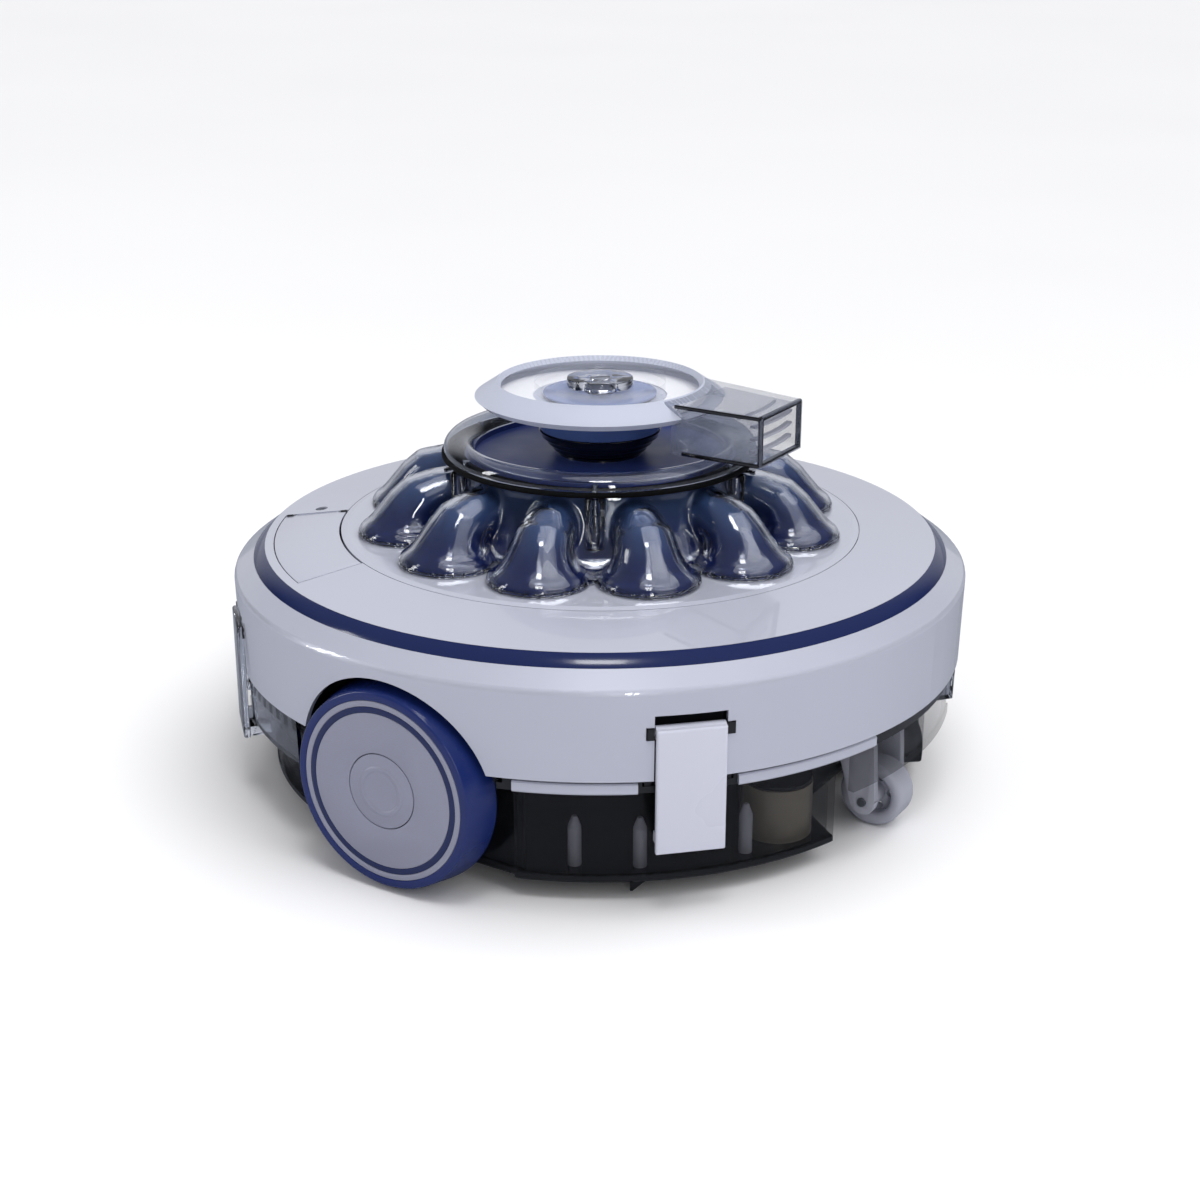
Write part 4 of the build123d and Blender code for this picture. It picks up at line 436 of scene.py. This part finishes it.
# ---- neck: screw columns, seal and collar -------------------------------------------------------------
COLUMN_PLACE_R, COLUMN_R, COLUMN_BORE = 73.0, 4.5, 1.6
column = turned("screw_columns", raised([(COLUMN_R, -24.0), (COLUMN_R, -1.0), (COLUMN_R - 0.5, -0.4),
                                         (COLUMN_BORE + 0.4, -0.4), (COLUMN_BORE, -0.8),
                                         (COLUMN_BORE, -24.0)], NECK_Z), steps=32)
pick(column)
bpy.ops.transform.translate(value=(COLUMN_PLACE_R * MM, 0, 0))
bpy.ops.object.transform_apply(location=True)
columns = ring_of(column, LOBES // 2, 0.0)
columns.name = "screw_columns"
smooth(columns)
mount(columns, "hull", clear_plastic)

seal = turned("neck_seal", raised([(70.0, -0.3), (74.8, -0.3), (75.3, 0.2), (75.3, 1.2), (74.8, 1.7),
                                   (70.0, 1.7)], NECK_Z), steps=128)
smooth(seal)
mount(seal, "hull", rubber)

collar = turned("rolled_collar", raised([
    (74.1, 1.8), (74.5, 3.8), (73.6, 6.3), (71.4, 8.4), (68.2, 9.5), (64.6, 9.0), (61.6, 7.0), (59.9, 4.2),
    (59.5, 1.8), (60.3, 1.8), (60.7, 4.0), (62.2, 6.5), (64.9, 8.3), (68.1, 8.7), (71.0, 7.7), (72.9, 5.9),
    (73.7, 3.7), (73.3, 1.8)], NECK_Z), steps=128)
modify(collar, "SUBSURF", levels=1)
smooth_all(collar)
fit(collar, "dome_collar")

# ---- nozzle: blue dish under the window, white floor, stepped bowl and the duct's dark edges -----------
dish = turned("window_dish", [(6.6, 182.9), (25.6, 182.9), (26.8, 183.5), (26.8, 184.2), (25.6, 184.4),
                              (18.0, 184.0), (6.6, 184.0)], steps=96)
smooth(dish)
mount(dish, "nozzle", steel_blue)

head_floor = turned("head_floor", [(31.6, 182.3), (49.4, 182.3), (50.0, 182.5), (49.4, 182.8),
                                   (31.6, 182.8)], steps=96)
smooth(head_floor)
mount(head_floor, "nozzle", white_floor)

bowl = turned("stepped_bowl", raised([
    (20.0, -3.1), (20.0, 0.6), (21.4, 2.2), (22.6, 2.5), (22.9, 3.8), (24.0, 5.2), (25.2, 5.5), (25.5, 6.8),
    (26.6, 8.2), (27.8, 8.5), (28.0, 9.8), (29.0, 11.4), (27.0, 11.4), (18.0, 1.2), (18.0, -3.1)], NECK_Z),
    steps=96)
smooth(bowl)
fit(bowl, "outlet_bowl")

RIM_DEEP, RIM_THICK, RIM_ROUND = 2.2, 1.9, 0.9
BAR_HALF, BAR_ROUND = 0.9, 0.4
duct_low, duct_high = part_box("nozzle_duct")
half_y, mouth_x = -duct_low.y / MM, duct_high.x / MM
sill_z, roof_z = duct_low.z / MM, duct_high.z / MM
rim = block("duct_rim", (mouth_x - RIM_DEEP, -half_y, sill_z), (mouth_x, half_y, roof_z), RIM_ROUND)
cut_by(rim, block("rim_opening", (mouth_x - 5, -half_y + RIM_THICK, sill_z + RIM_THICK),
                  (mouth_x + 5, half_y - RIM_THICK, roof_z - RIM_THICK)))
# The duct's two long edges on its right side, from where they leave the nozzle head to the rim.
bars = [block("duct_edge", (start_x, -half_y - BAR_HALF, z - BAR_HALF),
              (mouth_x - 1.0, -half_y + 0.1, z + BAR_HALF), BAR_ROUND)
        for start_x, z in ((52.0, roof_z - 1.0), (56.0, sill_z + 1.0))]
pick(rim, *bars)
bpy.ops.object.join()
smooth(rim)
mount(rim, "nozzle", gloss_black)

# ---- edges of the moulded parts, each with its radius in millimetres ----------------------------------
for node_name, edge in {
    "trim_band": 0.3, "hatch_lid": 0.25, "latch_front_right": 0.4,
    "latch_rear_left": 0.4, "latch_rear_right": 0.4, "latch_front_left": 0.4, "power_button": 0.3,
    "right_hub_disc": 0.4, "left_hub_disc": 0.4, "right_trim_ring": 0.2, "left_trim_ring": 0.2,
    "right_centre_cap": 0.3, "left_centre_cap": 0.3, "right_tyre": 0.5, "left_tyre": 0.5,
    "lock_knob": 0.6, "nozzle_hub": 0.3, "caster_brackets": 0.4,
}.items():
    softened(node_name, edge)

# ---- stage and light ----------------------------------------------------------------------------------
clear_selection()
bpy.ops.mesh.primitive_circle_add(vertices=96, radius=12.0, fill_type="NGON", location=(0, 0, 0))
floor = bpy.context.object
floor.name = "studio_floor"
coat(floor, paper)


def compass(azimuth_deg, elevation_deg):
    """The direction from the object at an azimuth, counted from -Y towards +X, and an elevation."""
    azimuth, elevation = math.radians(azimuth_deg), math.radians(elevation_deg)
    return Vector((math.sin(azimuth) * math.cos(elevation), -math.cos(azimuth) * math.cos(elevation),
                   math.sin(elevation)))


def turn_to(direction):
    """The rotation of a lamp or a camera that looks in a direction."""
    return direction.to_track_quat("-Z", "Y").to_euler()


def softbox(name, place, aim, size, power):
    """A soft rectangular lamp that shines at a point and isn't seen itself."""
    bpy.ops.object.light_add(type="AREA", location=place)
    box = bpy.context.object
    box.name = name
    box.data.shape = "RECTANGLE"
    box.data.size, box.data.size_y = size
    box.data.energy = power
    box.rotation_euler = turn_to(Vector(aim) - Vector(place))
    box.visible_camera = False


def skylight(name, azimuth_deg, elevation_deg, power, spread_deg):
    """A wide far lamp that lights everything with soft shadows and isn't mirrored by any part."""
    towards = compass(azimuth_deg, elevation_deg)
    bpy.ops.object.light_add(type="SUN", location=towards * 3.0)
    sun = bpy.context.object
    sun.name = name
    sun.data.energy = power
    sun.data.angle = math.radians(spread_deg)
    sun.visible_glossy = False
    sun.rotation_euler = turn_to(-towards)


skylight("key_light", 80.0, 44.0, 0.55, 45.0)
skylight("overhead_light", 120.0, 74.0, 1.75, 60.0)
softbox("left_strip", (-1.3, -0.9, 0.55), (0, 0, 0.14), (0.22, 0.9), 4.0)
softbox("right_strip", (1.1, -1.3, 0.6), (0, 0, 0.14), (0.12, 0.8), 3.2)
softbox("high_window", (0.35, -0.55, 1.5), (0, 0, 0.15), (0.3, 0.3), 3.0)

# The room lights from above. It is mirrored darker than it lights, with one pale wall behind the object,
# and the camera sees it as plain near-white.
BACK_WALL = (-0.52, 0.83, 0.2)
world = bpy.data.worlds.new("studio_air")
bpy.context.scene.world = world
world.use_nodes = True
air = world.node_tree
air.nodes.clear()
direction = add(air, "ShaderNodeTexCoord").outputs["Generated"]
up = add(air, "ShaderNodeSeparateXYZ", None, {"Vector": direction}).outputs["Z"]
rise = add(air, "ShaderNodeMapRange", {"interpolation_type": "SMOOTHSTEP"},
           {"Value": up, "From Min": 0.12, "From Max": 0.62}).outputs["Result"]
lit = add(air, "ShaderNodeMix", {"data_type": "RGBA"},
          {0: rise, 6: hex_colour("#34363E"), 7: hex_colour("#FFFFFF")}).outputs[2]
dim = add(air, "ShaderNodeMix", {"data_type": "RGBA"},
          {0: rise, 6: hex_colour("#23252C"), 7: hex_colour("#7C818F")}).outputs[2]
behind = add(air, "ShaderNodeVectorMath", {"operation": "DOT_PRODUCT"},
             {0: direction, 1: BACK_WALL}).outputs["Value"]
glow = add(air, "ShaderNodeMapRange", {"interpolation_type": "SMOOTHSTEP"},
           {"Value": behind, "From Min": 0.6, "From Max": 0.94, "To Max": 0.85}).outputs["Result"]
mirrored = add(air, "ShaderNodeMix", {"data_type": "RGBA"},
               {0: glow, 6: dim, 7: hex_colour("#E8EAF2")}).outputs[2]
ray = add(air, "ShaderNodeLightPath")
diffuse_ray, camera_ray = ray.outputs["Is Diffuse Ray"], ray.outputs["Is Camera Ray"]
room = add(air, "ShaderNodeMix", {"data_type": "RGBA"}, {0: diffuse_ray, 6: mirrored, 7: lit}).outputs[2]
colour = add(air, "ShaderNodeMix", {"data_type": "RGBA"},
             {0: camera_ray, 6: room, 7: hex_colour("#F4F4F6")}).outputs[2]
soft = add(air, "ShaderNodeMapRange", None,
           {"Value": diffuse_ray, "To Min": 0.8, "To Max": 0.44}).outputs["Result"]
strength = add(air, "ShaderNodeMix", None, {0: camera_ray, 2: soft, 3: 1.0}).outputs[0]
background = add(air, "ShaderNodeBackground", None, {"Color": colour, "Strength": strength})
add(air, "ShaderNodeOutputWorld", None, {"Surface": background.outputs["Background"]})
bpy.context.scene.view_settings.view_transform = "Standard"

# ---- camera -------------------------------------------------------------------------------------------
VIEW_AZIMUTH, VIEW_ELEVATION = 31.78, 20.33
VIEW_DISTANCE, AIM_HEIGHT = 0.9718, 0.0792      # metres
LENS, SENSOR_WIDTH = 59.52, 36.0                # millimetres
back = compass(VIEW_AZIMUTH, VIEW_ELEVATION)
bpy.ops.object.camera_add(location=Vector((0, 0, AIM_HEIGHT)) + back * VIEW_DISTANCE, rotation=turn_to(-back))
camera = bpy.context.object
camera.name = "studio_camera"
camera.data.lens = LENS
camera.data.sensor_width = SENSOR_WIDTH
camera.data.clip_end = 60.0
bpy.context.scene.camera = camera
